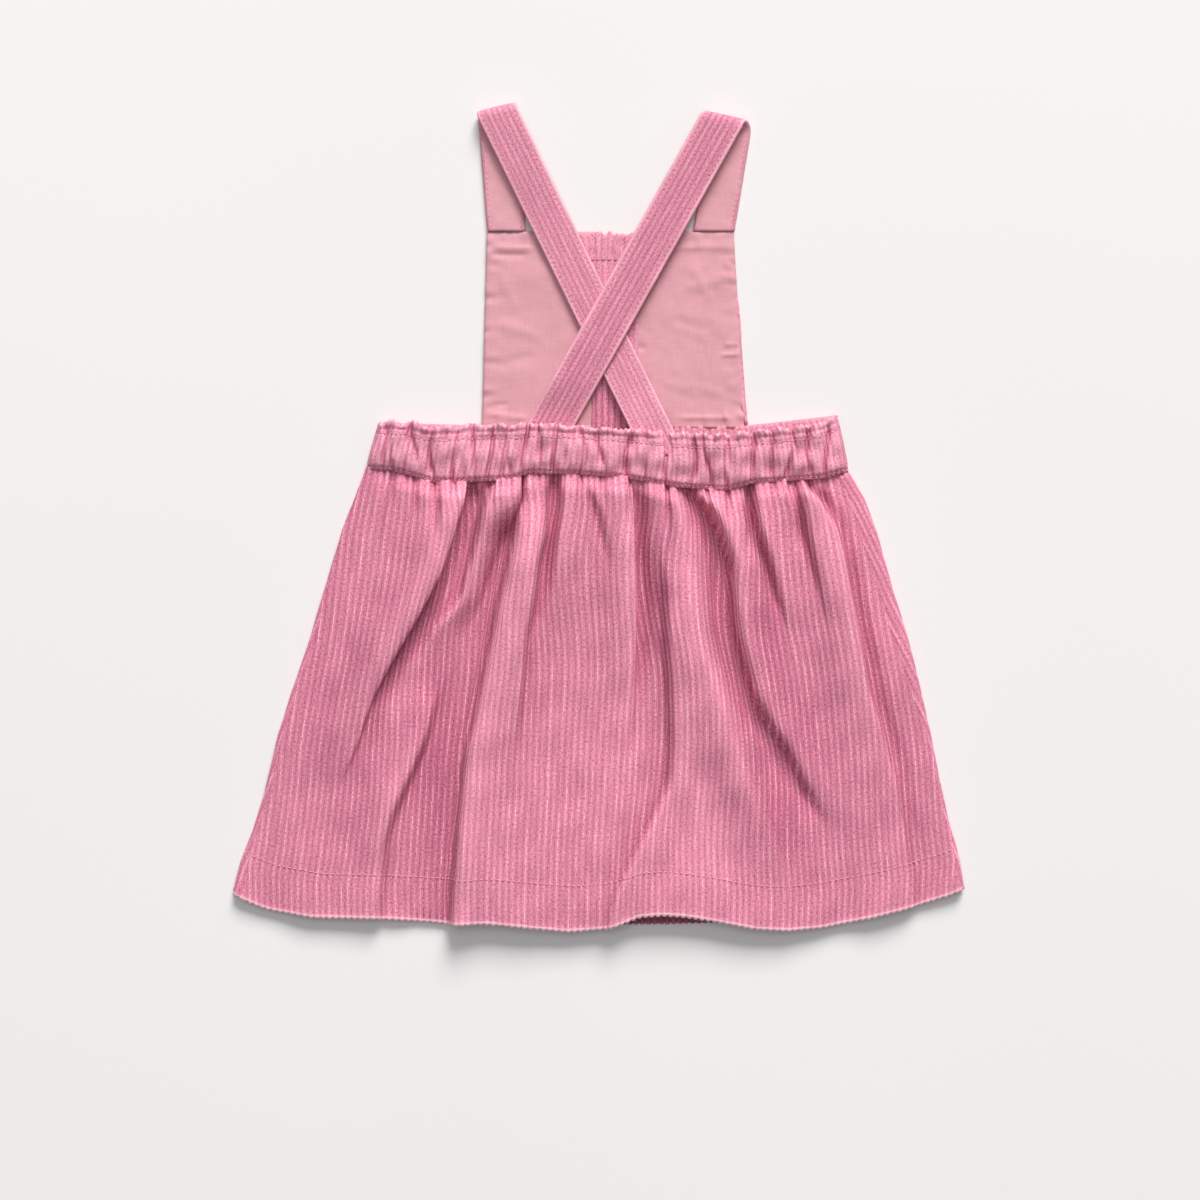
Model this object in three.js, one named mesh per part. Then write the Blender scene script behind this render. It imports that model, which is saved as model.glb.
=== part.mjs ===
// A small child's corduroy pinafore dress, laid flat with its back side up.
// Millimetres, +Z up. X runs across the dress, Y from hem to straps, and the origin is the
// centre of the dress's footprint, on the surface that it lies on.
import * as THREE from 'three';

// ---------------------------------------------------------------- driving sizes
const CORDUROY = 1.6;             // wall of one layer of corduroy, pile included
const COTTON = 1.0;               // wall of the lining with its seam allowance
const DOUBLED = 3.0;              // two layers of corduroy pressed together, as in a waistband
const FACING = 1.2;               // wall of the facing, whose pile is pressed flat
const SEAM_GAP = 0.3;             // clearance between neighbouring pieces

const SKIRT_TOP = 23;             // Y of the waist seam at the side seams
const SKIRT_HEM = -185.5;         // Y of the hem at the side seams
const EDGE_ROLL = 14;             // distance in which a panel rises from its side seam
const WAIST_RISE = 4.8;           // how far the back skirt stands off the front one at the waist
const HEM_RISE = 2.2;             // the same at the hem
const FRONT_INSET = 0.6;          // the front skirt stops this far inside the back one's sides
const FRONT_HEM_DIP = 17.4;       // dip of the front hem's even curve in its middle
const HEM_CURVE = 2.6;            // power of that curve: higher is flatter in the middle
const FOLD_TAIL = 2.5;            // a fold fades out in the last 1 / FOLD_TAIL of its run

const BIB_BOTTOM = 45;            // Y of the seam between bib and waistband
const BIB_TOP = 141.5;            // Y of the bib's top edge
const BIB_MIDDLE = 8;             // X of the middle of the bib's facing
const FACING_WIDTH = 23;          // corduroy facing down the middle of the bib
const LINING_INSET = 0.6;         // the lining stops this far inside the bib's edge
const OUTER_ROLL = 1.6;           // the bib's outer rolls this far past its lining on the right
const CASING_WALL = 2.4;          // wall of the casing between its gathers
const CASING_PUFF = 3.2;          // height of the gathers in the elastic casing
const CASING_GATHERS = 19;        // number of puffs across the elastic casing

// Side seams of the skirt: Y, X of the left seam, X of the right seam, one row for each section.
const SIDE_SEAMS = [
  { y: 23, left: -115.9, right: 124.5 },
  { y: 14, left: -119.4, right: 130.6 },
  { y: -5, left: -127.4, right: 138.1 },
  { y: -34, left: -136.4, right: 146.1 },
  { y: -62, left: -144.6, right: 154.9 },
  { y: -85.5, left: -152.9, right: 160.6 },
  { y: -112.5, left: -161.4, right: 166.6 },
  { y: -134, left: -165.9, right: 170.6 },
  { y: -156.5, left: -172.9, right: 175.9 },
  { y: -172, left: -179.4, right: 180.6 },
  { y: -185.5, left: -182.3, right: 182.3 },
];

// Hem of the back panel: X, and how far it dips below the side corners.
const BACK_HEM = [
  { x: -182.3, dip: 0 },
  { x: -177, dip: 3.5 },
  { x: -162, dip: 10 },
  { x: -139, dip: 14 },
  { x: -107, dip: 14.7 },
  { x: -69, dip: 17.5 },
  { x: -54, dip: 16.8 },
  { x: -13.5, dip: 21 },
  { x: 7, dip: 19.5 },
  { x: 22, dip: 13.5 },
  { x: 33, dip: 12.5 },
  { x: 46, dip: 13.5 },
  { x: 61, dip: 16 },
  { x: 80, dip: 19.7 },
  { x: 96, dip: 20.5 },
  { x: 112, dip: 19.2 },
  { x: 133, dip: 15 },
  { x: 153, dip: 10 },
  { x: 174, dip: 3.5 },
  { x: 182.3, dip: 0 },
];

// Lower edge of the gathered casing: X, and how far the seam dips below SKIRT_TOP.
const WAIST_SEAM = [
  { x: -115.9, dip: 0 },
  { x: -103, dip: 1 },
  { x: -82, dip: 7 },
  { x: -64, dip: 7 },
  { x: -42, dip: 5.5 },
  { x: -35, dip: 2.5 },
  { x: -10, dip: 3 },
  { x: 14, dip: 5 },
  { x: 39, dip: 9.5 },
  { x: 64, dip: 11 },
  { x: 77, dip: 7.5 },
  { x: 112, dip: 5 },
  { x: 124.5, dip: 1.3 },
];

// Upper edge of the casing: X and Y.
const CASING_TOP = [
  { x: -109.4, y: 46.5 },
  { x: -95, y: 46 },
  { x: -82, y: 43 },
  { x: -58, y: 45 },
  { x: -32, y: 45 },
  { x: 14, y: 42.5 },
  { x: 37, y: 40.5 },
  { x: 64, y: 40 },
  { x: 94, y: 43 },
  { x: 108, y: 45 },
  { x: 118.6, y: 50 },
];

// Upper edge of the flat front waistband: X and Y.
const FRONT_BAND_TOP = [
  { x: -109.4, y: 46.5 },
  { x: -58.4, y: 45 },
  { x: 74.6, y: 45 },
  { x: 118.6, y: 50 },
];

// The skirt's largest folds: crest at the waist and at its end, the share of the skirt's length
// that it runs, its height, and how wide it is to either side of the crest.
const FOLDS = [
  { name: 'far left tuck', top: -70, end: -121, run: 0.62, height: 5, left: 22, right: 6 },
  { name: 'short tuck', top: -50, end: -72, run: 0.36, height: 4, left: 5, right: 10 },
  { name: 'long tuck to the hem', top: -34, end: -68, run: 1.3, height: 6, left: 6, right: 26 },
  { name: 'middle ridge', top: 16, end: 19, run: 0.8, height: 6, left: 26, right: 7 },
  { name: 'second middle ridge', top: 39, end: 62, run: 0.75, height: 4, left: 7, right: 14 },
  { name: 'slanting tuck', top: 55, end: 121, run: 0.88, height: 5, left: 6, right: 18 },
  { name: 'small tuck', top: 80, end: 97, run: 0.4, height: 3, left: 6, right: 9 },
  { name: 'smaller tuck', top: 101, end: 113, run: 0.3, height: 2.5, left: 6, right: 7 },
  { name: 'rounded ridge', top: 108, end: 139, run: 0.75, height: 5, left: 14, right: 8 },
];

// Waves of the free hem: X of the wave, its height at the hem, its half width and where it starts.
const HEM_WAVES = [
  { x: -90, height: 2.5, width: 26, start: 0.5 },
  { x: -14, height: 3, width: 30, start: 0.45 },
  { x: 33, height: 8, width: 22, start: 0.72 },
  { x: 95, height: 4, width: 32, start: 0.5 },
];

// The straps: the left and right corner of each end, and of the fold at the shoulder.
const STRAPS = [
  {
    name: 'left',
    front: [[-55.9, 141.8], [-36.4, 141.8]],
    fold: [[-61.4, 201.5], [-41.2, 206.45]],
    back: [[21.6, 29.5], [43.6, 29.5]],
    foldRadius: 2.5,
    heights: [6.75, 6.2, 5.6, 5, 4.7, 4.55, 4.55, 4.55, 4.55, 4.55, 4.55],
  },
  {
    name: 'right',
    front: [[48.1, 141.8], [67.6, 141.8]],
    fold: [[50.6, 203.5], [77.1, 196]],
    back: [[-42.7, 33], [-18.7, 31.5]],
    foldRadius: 3.6,
    heights: [8.95, 8.9, 8.7, 8.5, 8.3, 8.1, 8, 8, 7.6, 4.65, 4.55],
  },
];
const STRAP_TOP = 6.4;            // height of the strap ends under the casing
const STRAP_RUN = 20;             // sections along the hanging half of a strap
const STRAP_BEND = 8;             // sections round the fold at the shoulder

// ---------------------------------------------------------------- materials
const corduroy = new THREE.MeshStandardMaterial({ color: 0xd07b95, roughness: 0.95, metalness: 0 });
const corduroyPale = new THREE.MeshStandardMaterial({ color: 0xe0a0b2, roughness: 0.95, metalness: 0 });
const cotton = new THREE.MeshStandardMaterial({ color: 0xdea2ab, roughness: 0.9, metalness: 0 });

// ---------------------------------------------------------------- small helpers
const mix = (a, b, t) => a + (b - a) * t;
const clamp01 = (t) => Math.min(1, Math.max(0, t));

function ease(t) {
  const s = clamp01(t);
  return s * s * (3 - 2 * s);
}

// Reads a table at a value of its key column, with straight lines between the rows.
function read(table, key, column, at) {
  const rising = table[table.length - 1][key] > table[0][key];
  const rows = rising ? table : [...table].reverse();
  if (at <= rows[0][key]) return rows[0][column];
  for (let i = 1; i < rows.length; i += 1) {
    if (at <= rows[i][key]) {
      const share = (at - rows[i - 1][key]) / (rows[i][key] - rows[i - 1][key]);
      return mix(rows[i - 1][column], rows[i][column], share);
    }
  }
  return rows[rows.length - 1][column];
}

// Builds a closed wall between a lower and an upper skin, each a function of (u, v) in 0..1.
function wall(name, material, columns, rows, lower, upper) {
  const positions = [];
  const index = [];
  const across = columns + 1;
  const layer = across * (rows + 1);
  for (const skin of [lower, upper]) {
    for (let j = 0; j <= rows; j += 1) {
      for (let i = 0; i <= columns; i += 1) {
        positions.push(...skin(i / columns, j / rows));
      }
    }
  }
  const at = (side, i, j) => side * layer + j * across + i;
  const quad = (a, b, c, d) => index.push(a, b, c, a, c, d);
  for (let j = 0; j < rows; j += 1) {
    for (let i = 0; i < columns; i += 1) {
      quad(at(0, i, j), at(0, i, j + 1), at(0, i + 1, j + 1), at(0, i + 1, j));
      quad(at(1, i, j), at(1, i + 1, j), at(1, i + 1, j + 1), at(1, i, j + 1));
    }
  }
  for (let i = 0; i < columns; i += 1) {
    quad(at(0, i, 0), at(0, i + 1, 0), at(1, i + 1, 0), at(1, i, 0));
    quad(at(0, i + 1, rows), at(0, i, rows), at(1, i, rows), at(1, i + 1, rows));
  }
  for (let j = 0; j < rows; j += 1) {
    quad(at(0, 0, j + 1), at(0, 0, j), at(1, 0, j), at(1, 0, j + 1));
    quad(at(0, columns, j), at(0, columns, j + 1), at(1, columns, j + 1), at(1, columns, j));
  }
  const geometry = new THREE.BufferGeometry();
  geometry.setAttribute('position', new THREE.Float32BufferAttribute(positions, 3));
  geometry.setIndex(index);
  geometry.computeVertexNormals();
  const mesh = new THREE.Mesh(geometry, material);
  mesh.name = name;
  return mesh;
}

// A wall whose plan is place(u, v) -> [x, y], with its lower face at base(x, u, v) and its upper
// face a thickness above it.  v runs from the lower edge of the piece (0) to its upper edge (1).
function layer(name, material, columns, rows, place, base, thickness) {
  const skin = (lift) => (u, v) => {
    const [x, y] = place(u, v);
    return [x, y, base(x, u, v) + lift(u, v)];
  };
  return wall(name, material, columns, rows, skin(() => 0), skin(thickness));
}

// ---------------------------------------------------------------- skirt
// Plan of a skirt panel: v = 0 at the hem, 1 at the waist seam.
function skirtPlan(topDip, hemDip, inset) {
  return (u, v) => {
    const ySide = mix(SKIRT_HEM, SKIRT_TOP - SEAM_GAP, v);
    const left = read(SIDE_SEAMS, 'y', 'left', ySide) + inset;
    const right = read(SIDE_SEAMS, 'y', 'right', ySide) - inset;
    const x = mix(left, right, u);
    const xHem = mix(SIDE_SEAMS.at(-1).left, SIDE_SEAMS.at(-1).right, u);
    const xTop = mix(SIDE_SEAMS[0].left, SIDE_SEAMS[0].right, u);
    const dip = mix(hemDip(xHem), topDip(xTop), v);
    return [x, ySide - dip];
  };
}

function skirtFront() {
  const halfHem = SIDE_SEAMS.at(-1).right;
  const hemDip = (x) => FRONT_HEM_DIP * (1 - clamp01(Math.abs(x) / halfHem) ** HEM_CURVE);
  const place = skirtPlan(() => 0, hemDip, FRONT_INSET);
  return layer('skirt_front', corduroy, 20, 10, place, () => 0, () => CORDUROY);
}

// Height of one fold above the panel, at X and at a share t of the way from waist to hem.
function foldHeight(fold, x, t) {
  if (t >= fold.run) return 0;
  const along = t / fold.run;
  const crest = mix(fold.top, fold.end, along);
  const side = x < crest ? (crest - x) / fold.left : (x - crest) / fold.right;
  return fold.height * ease(1 - side) * ease((1 - along) * FOLD_TAIL);
}

function waveHeight(wave, x, t) {
  const side = Math.abs(x - wave.x) / wave.width;
  return wave.height * ease(1 - side) * ease((t - wave.start) / (1 - wave.start));
}

function skirtBackHeight(x, u, v) {
  const t = 1 - v;
  const y = mix(SKIRT_HEM, SKIRT_TOP, v);
  const left = read(SIDE_SEAMS, 'y', 'left', y);
  const right = read(SIDE_SEAMS, 'y', 'right', y);
  const fromSide = Math.min(x - left, right - x);
  const off = ease(fromSide / EDGE_ROLL);
  const rise = mix(HEM_RISE, WAIST_RISE, v * v);
  const folds = FOLDS.reduce((sum, fold) => Math.max(sum, foldHeight(fold, x, t)), 0);
  const waves = HEM_WAVES.reduce((sum, wave) => sum + waveHeight(wave, x, t), 0);
  return CORDUROY + SEAM_GAP + off * (rise + folds + waves);
}

function skirtBack() {
  const hemDip = (x) => read(BACK_HEM, 'x', 'dip', x);
  const topDip = (x) => read(WAIST_SEAM, 'x', 'dip', x);
  const place = skirtPlan(topDip, hemDip, 0);
  return layer('skirt_back', corduroy, 84, 14, place, skirtBackHeight, () => CORDUROY);
}

// ---------------------------------------------------------------- waistband
function waistbandFront() {
  const bottom = SIDE_SEAMS[0];
  const topLeft = CASING_TOP[0];
  const topRight = CASING_TOP.at(-1);
  const place = (u, v) => {
    const x = mix(mix(bottom.left, bottom.right, u), mix(topLeft.x, topRight.x, u), v);
    const yTop = read(FRONT_BAND_TOP, 'x', 'y', mix(topLeft.x, topRight.x, u)) - SEAM_GAP;
    return [x, mix(SKIRT_TOP, yTop, v)];
  };
  return layer('waistband_front', corduroyPale, 20, 1, place, () => 0, () => DOUBLED);
}

// The casing rides over the strap ends, and comes down on the front waistband at the sides.
function waistbandBack() {
  const topLeft = CASING_TOP[0];
  const topRight = CASING_TOP.at(-1);
  const bottom = SIDE_SEAMS[0];
  const place = (u, v) => {
    const xBottom = mix(bottom.left, bottom.right, u);
    const xTop = mix(topLeft.x, topRight.x, u);
    const yBottom = SKIRT_TOP - read(WAIST_SEAM, 'x', 'dip', xBottom);
    return [mix(xBottom, xTop, v), mix(yBottom, read(CASING_TOP, 'x', 'y', xTop), v)];
  };
  const base = (x, u) => {
    const fromEnd = Math.min(u, 1 - u) * (bottom.right - bottom.left);
    return mix(DOUBLED, STRAP_TOP, ease(fromEnd / EDGE_ROLL)) + SEAM_GAP;
  };
  const puff = (u, v) => {
    const gather = 0.5 - 0.5 * Math.cos(u * CASING_GATHERS * 2 * Math.PI);
    const crown = Math.sin(Math.PI * mix(0.15, 0.85, v));
    return CASING_WALL + CASING_PUFF * gather * crown;
  };
  return layer('waistband_back', corduroyPale, 76, 4, place, base, puff);
}

// ---------------------------------------------------------------- bib
const BIB_LEFT = { bottom: -58.4, top: -55.9 };
const BIB_RIGHT = { bottom: 74.6, top: 67.6 };

// Plan of an upright piece of the bib between two edges, each with an X at its bottom and its top.
function bibPlan(left, right, bottomY, topY) {
  return (u, v) => {
    const xLeft = mix(left.bottom, left.top, v);
    const xRight = mix(right.bottom, right.top, v);
    return [mix(xLeft, xRight, u), mix(bottomY, topY, v)];
  };
}

function bibPieces() {
  const outer = bibPlan(BIB_LEFT, BIB_RIGHT, BIB_BOTTOM, BIB_TOP);
  const facingLeft = BIB_MIDDLE - FACING_WIDTH / 2;
  const facingRight = BIB_MIDDLE + FACING_WIDTH / 2;
  const upright = (x) => ({ bottom: x, top: x });
  const inset = (edge, by) => ({ bottom: edge.bottom + by, top: edge.top + by });
  const inside = () => CORDUROY + SEAM_GAP;
  const top = BIB_TOP - LINING_INSET;
  const leftEdge = inset(BIB_LEFT, LINING_INSET);
  const rightEdge = inset(BIB_RIGHT, -OUTER_ROLL);
  const leftPlan = bibPlan(leftEdge, upright(facingLeft - SEAM_GAP), BIB_BOTTOM, top);
  const rightPlan = bibPlan(upright(facingRight + SEAM_GAP), rightEdge, BIB_BOTTOM, top);
  const facingPlan = bibPlan(upright(facingLeft), upright(facingRight), BIB_BOTTOM, top);
  return [
    layer('bib_front', corduroy, 6, 4, outer, () => 0, () => CORDUROY),
    layer('bib_lining_left', cotton, 4, 4, leftPlan, inside, () => COTTON),
    layer('bib_lining_right', cotton, 4, 4, rightPlan, inside, () => COTTON),
    layer('bib_centre_facing', corduroy, 2, 4, facingPlan, inside, () => FACING),
  ];
}

// ---------------------------------------------------------------- straps
// A strap is two cloths face to face.  Its middle surface runs up from the bib with the lining
// upwards, turns over the fold, and comes down over the bib to the waist with the corduroy upwards.
// Each section has the left and right ends of the middle surface and its normal to the corduroy.
function strapSections(strap) {
  const [foldLeft, foldRight] = strap.fold.map(([x, y]) => new THREE.Vector2(x, y));
  const along = foldRight.clone().sub(foldLeft).normalize();
  const out = new THREE.Vector2(-along.y, along.x);
  const half = SEAM_GAP / 2;
  const low = half + CORDUROY;
  const reach = strap.foldRadius + low;
  const pins = [foldLeft, foldRight].map((corner) => corner.clone().addScaledVector(out, -reach));
  const sections = [];
  const add = (points, height, turn) => {
    const normal = new THREE.Vector3(out.x * Math.sin(turn), out.y * Math.sin(turn), -Math.cos(turn));
    sections.push({ points: points.map((p) => new THREE.Vector3(p.x, p.y, height)), normal });
  };
  const runs = 4;
  for (let k = 0; k < runs; k += 1) {
    const share = k / runs;
    const ends = strap.front.map(([x, y], side) => new THREE.Vector2(x, y).lerp(pins[side], share));
    add(ends, low, 0);
  }
  for (let k = 0; k <= STRAP_BEND; k += 1) {
    const turn = (Math.PI * k) / STRAP_BEND;
    const ends = pins.map((pin) => pin.clone().addScaledVector(out, strap.foldRadius * Math.sin(turn)));
    add(ends, low + strap.foldRadius * (1 - Math.cos(turn)), turn);
  }
  const last = strap.heights.length - 1;
  for (let k = 1; k <= STRAP_RUN; k += 1) {
    const share = k / STRAP_RUN;
    const ends = strap.back.map(([x, y], side) => pins[side].clone().lerp(new THREE.Vector2(x, y), share));
    const row = Math.min(last - 1, Math.floor(share * last));
    const height = mix(strap.heights[row], strap.heights[row + 1], share * last - row);
    add(ends, height, Math.PI);
  }
  return sections;
}

// One cloth of a strap, between two distances from its middle surface.
function strapCloth(name, material, sections, near, far) {
  const skin = (distance) => (u, v) => {
    const section = sections[Math.round(v * (sections.length - 1))];
    const point = section.points[0].clone().lerp(section.points[1], u);
    return point.addScaledVector(section.normal, distance).toArray();
  };
  const rows = sections.length - 1;
  return wall(name, material, 1, rows, skin(far), skin(near));
}

function strapPieces(strap) {
  const sections = strapSections(strap);
  const half = SEAM_GAP / 2;
  return [
    strapCloth(`strap_${strap.name}_outer`, corduroyPale, sections, half, half + CORDUROY),
    strapCloth(`strap_${strap.name}_lining`, cotton, sections, -half - COTTON, -half),
  ];
}

// ---------------------------------------------------------------- the dress
const dress = new THREE.Group();
dress.name = 'pinafore_dress';
dress.add(skirtFront(), skirtBack(), waistbandFront(), waistbandBack());
dress.add(...bibPieces());
STRAPS.forEach((strap) => dress.add(...strapPieces(strap)));

export default dress;
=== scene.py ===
"""A small child's corduroy pinafore dress, laid flat with its back side up, around its CAD frame.

Each cloth is cut flat as a grid whose columns follow the wales, is laid on a form worked out from
the frame, and then gets its pile, its map and its thickness.  Lengths in the tables are millimetres.
"""

import math

import bmesh
import bpy
import numpy as np
from mathutils import Matrix, Vector


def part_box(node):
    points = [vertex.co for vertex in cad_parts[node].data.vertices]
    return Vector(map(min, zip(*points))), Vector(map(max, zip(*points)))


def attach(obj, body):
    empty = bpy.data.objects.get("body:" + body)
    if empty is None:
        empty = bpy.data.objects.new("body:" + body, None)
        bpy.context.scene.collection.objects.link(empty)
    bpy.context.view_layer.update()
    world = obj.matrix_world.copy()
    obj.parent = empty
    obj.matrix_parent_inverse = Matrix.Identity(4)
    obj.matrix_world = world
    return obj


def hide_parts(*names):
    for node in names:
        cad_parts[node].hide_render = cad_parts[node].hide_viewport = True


bl_info = {
    "name": "Corduroy pinafore dress",
    "version": (1, 0, 0),
    "blender": (4, 5, 0),
    "location": "3D View > Sidebar > Pinafore",
    "description": "Builds a gathered corduroy pinafore dress with crossed straps on its CAD frame",
    "category": "Add Mesh",
}

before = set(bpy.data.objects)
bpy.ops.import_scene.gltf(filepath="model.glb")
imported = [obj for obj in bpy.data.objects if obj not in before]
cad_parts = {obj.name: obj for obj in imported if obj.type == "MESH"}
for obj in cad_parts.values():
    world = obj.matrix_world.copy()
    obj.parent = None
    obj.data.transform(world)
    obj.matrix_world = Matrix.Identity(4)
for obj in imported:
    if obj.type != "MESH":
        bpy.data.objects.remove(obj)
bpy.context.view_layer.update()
MM = 0.001

# ------------------------------------------------------------------ cloth and sewing sizes
WALE = 3.15                # one rib of the corduroy with its groove
RIB_COLUMNS = 4            # mesh columns to a wale
RIB_PROFILE = (0.0, 0.8, 1.0, 0.8)
PANEL_WALES = 124          # wales in the cloth that a skirt panel is cut from
WAIST_CUT = 310.0          # flat width of a skirt panel and of the casing at the waist
HEM_CUT = 378.0            # flat width of a skirt panel at its finished hem
HEM_DEPTH = 20.0           # the hem is stitched this far above its edge
HEM_BEND = 0.85            # radius of the turned hem
EDGE_RADIUS = 2.1          # radius of the front panel where it wraps round the sides
EDGE_PILE = 0.5            # room for the pile outside that edge
SEAM_LAP = 0.9             # the panels lap this far at a side seam
SEAM_TUCK = 0.55           # a panel dips this far into its side seam
FLOOR_CLEAR = 3.0          # lowest height of the back panel's outside
FOLD_GAIN = 2.3            # deepens every fold of the gathered panel alike
FOLD_CRISP = 0.62          # narrows the step of every fold alike
SEAM_RISE = 8.0            # the folds stand up over this length below the waist seam
WAIST_ZONE = 14.0          # length below the waist seam where a panel's rows are close
BACK_ROWS = (12, 62, 15, 8)    # rows near the waist, down the panel, round the hem's bend, inside it
FRONT_ROWS = (6, 36, 14, 8)
BEND_GAIN = 1.3            # how much more the ribs stand up at a hem's edge
BEND_REACH = 1.8           # how far from that edge they do
RIB_UNEVEN = 0.1           # how much their height varies
# Stitching presses the ribs down by a share of their height and by a depth, over a reach.
SEAM_PRESS = (0.6, 0.25, 0.9)
LINE_PRESS = (0.8, 0.3, 0.7)
SAMPLES = 1001             # points across a form
WEAR = 0.66                # how far the pile of flat cloth is rubbed: 0 is whole, 1 is pale
FOLD_SHADE_RANGE = 8.0           # a height above its surroundings of half this paints the pile quite pale as painted light; what lies low gets painted shade
FOLD_SHADE_NEAR = 3.5            # reach of the painted shade of the smallest gathers and creases
FOLD_SHADE_FINE = 2.6            # the same as the range, for those
SLOPE_SHADE = 0.48          # how much painted shade the steepest slope gets
FOLD_SHADE_ROWS = 6              # rows of a form over which its surroundings are evened out for the painted shade
CALM_ROWS = 24             # rows of a form over which its wales are kept from wandering
PALE_EDGE_AND_HIGHLIGHT_WIDTH = 0.9             # width of cloth inside the hem's edge that is painted pale: a painted highlight and pile pale from rubbing
PALE_EDGE_AND_HIGHLIGHT = 1.5            # marks a turned edge, painted pale: a painted highlight and pile pale from rubbing
HEM_SHADE_MARK = -1.0         # marks the inside of a hem, painted dark as painted shade

# How far the side seams lie inside the silhouette, seen from the back: Y, left inset, right inset.
SEAM_INSETS = [
    (23, 1.0, 5.5), (14, 0.9, 6.6), (-7, 1.1, 7.8), (-28, 1.6, 7.0), (-48, 2.2, 7.4),
    (-66, 2.5, 6.4), (-88, 2.5, 4.6), (-104, 2.5, 3.0), (-122, 2.4, 2.0), (-150, 2.3, 2.2),
    (-170, 3.6, 2.3), (-185, 5.0, 3.0),
]

# Gathers of the elastic casing: X and how hard the cloth is pinched there.
GATHERS = [
    (-107.4, 0.45), (-102.9, 0.4), (-95.4, 0.5), (-91.9, 0.4), (-81.9, 1.0), (-72.4, 0.8),
    (-62.0, 0.9), (-53.4, 0.8), (-49.9, 0.4), (-44.4, 0.45), (-37.4, 1.0), (-29.5, 0.35),
    (-21.4, 0.9), (-9.0, 0.8), (1.6, 0.45), (14.6, 1.5), (22.1, 0.5), (34.1, 1.5), (46.6, 1.0),
    (53.6, 0.8), (64.1, 0.9), (75.6, 1.5), (86.6, 0.55), (94.6, 0.9), (98.1, 0.6), (105.1, 0.9),
    (112.6, 0.8),
]

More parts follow.
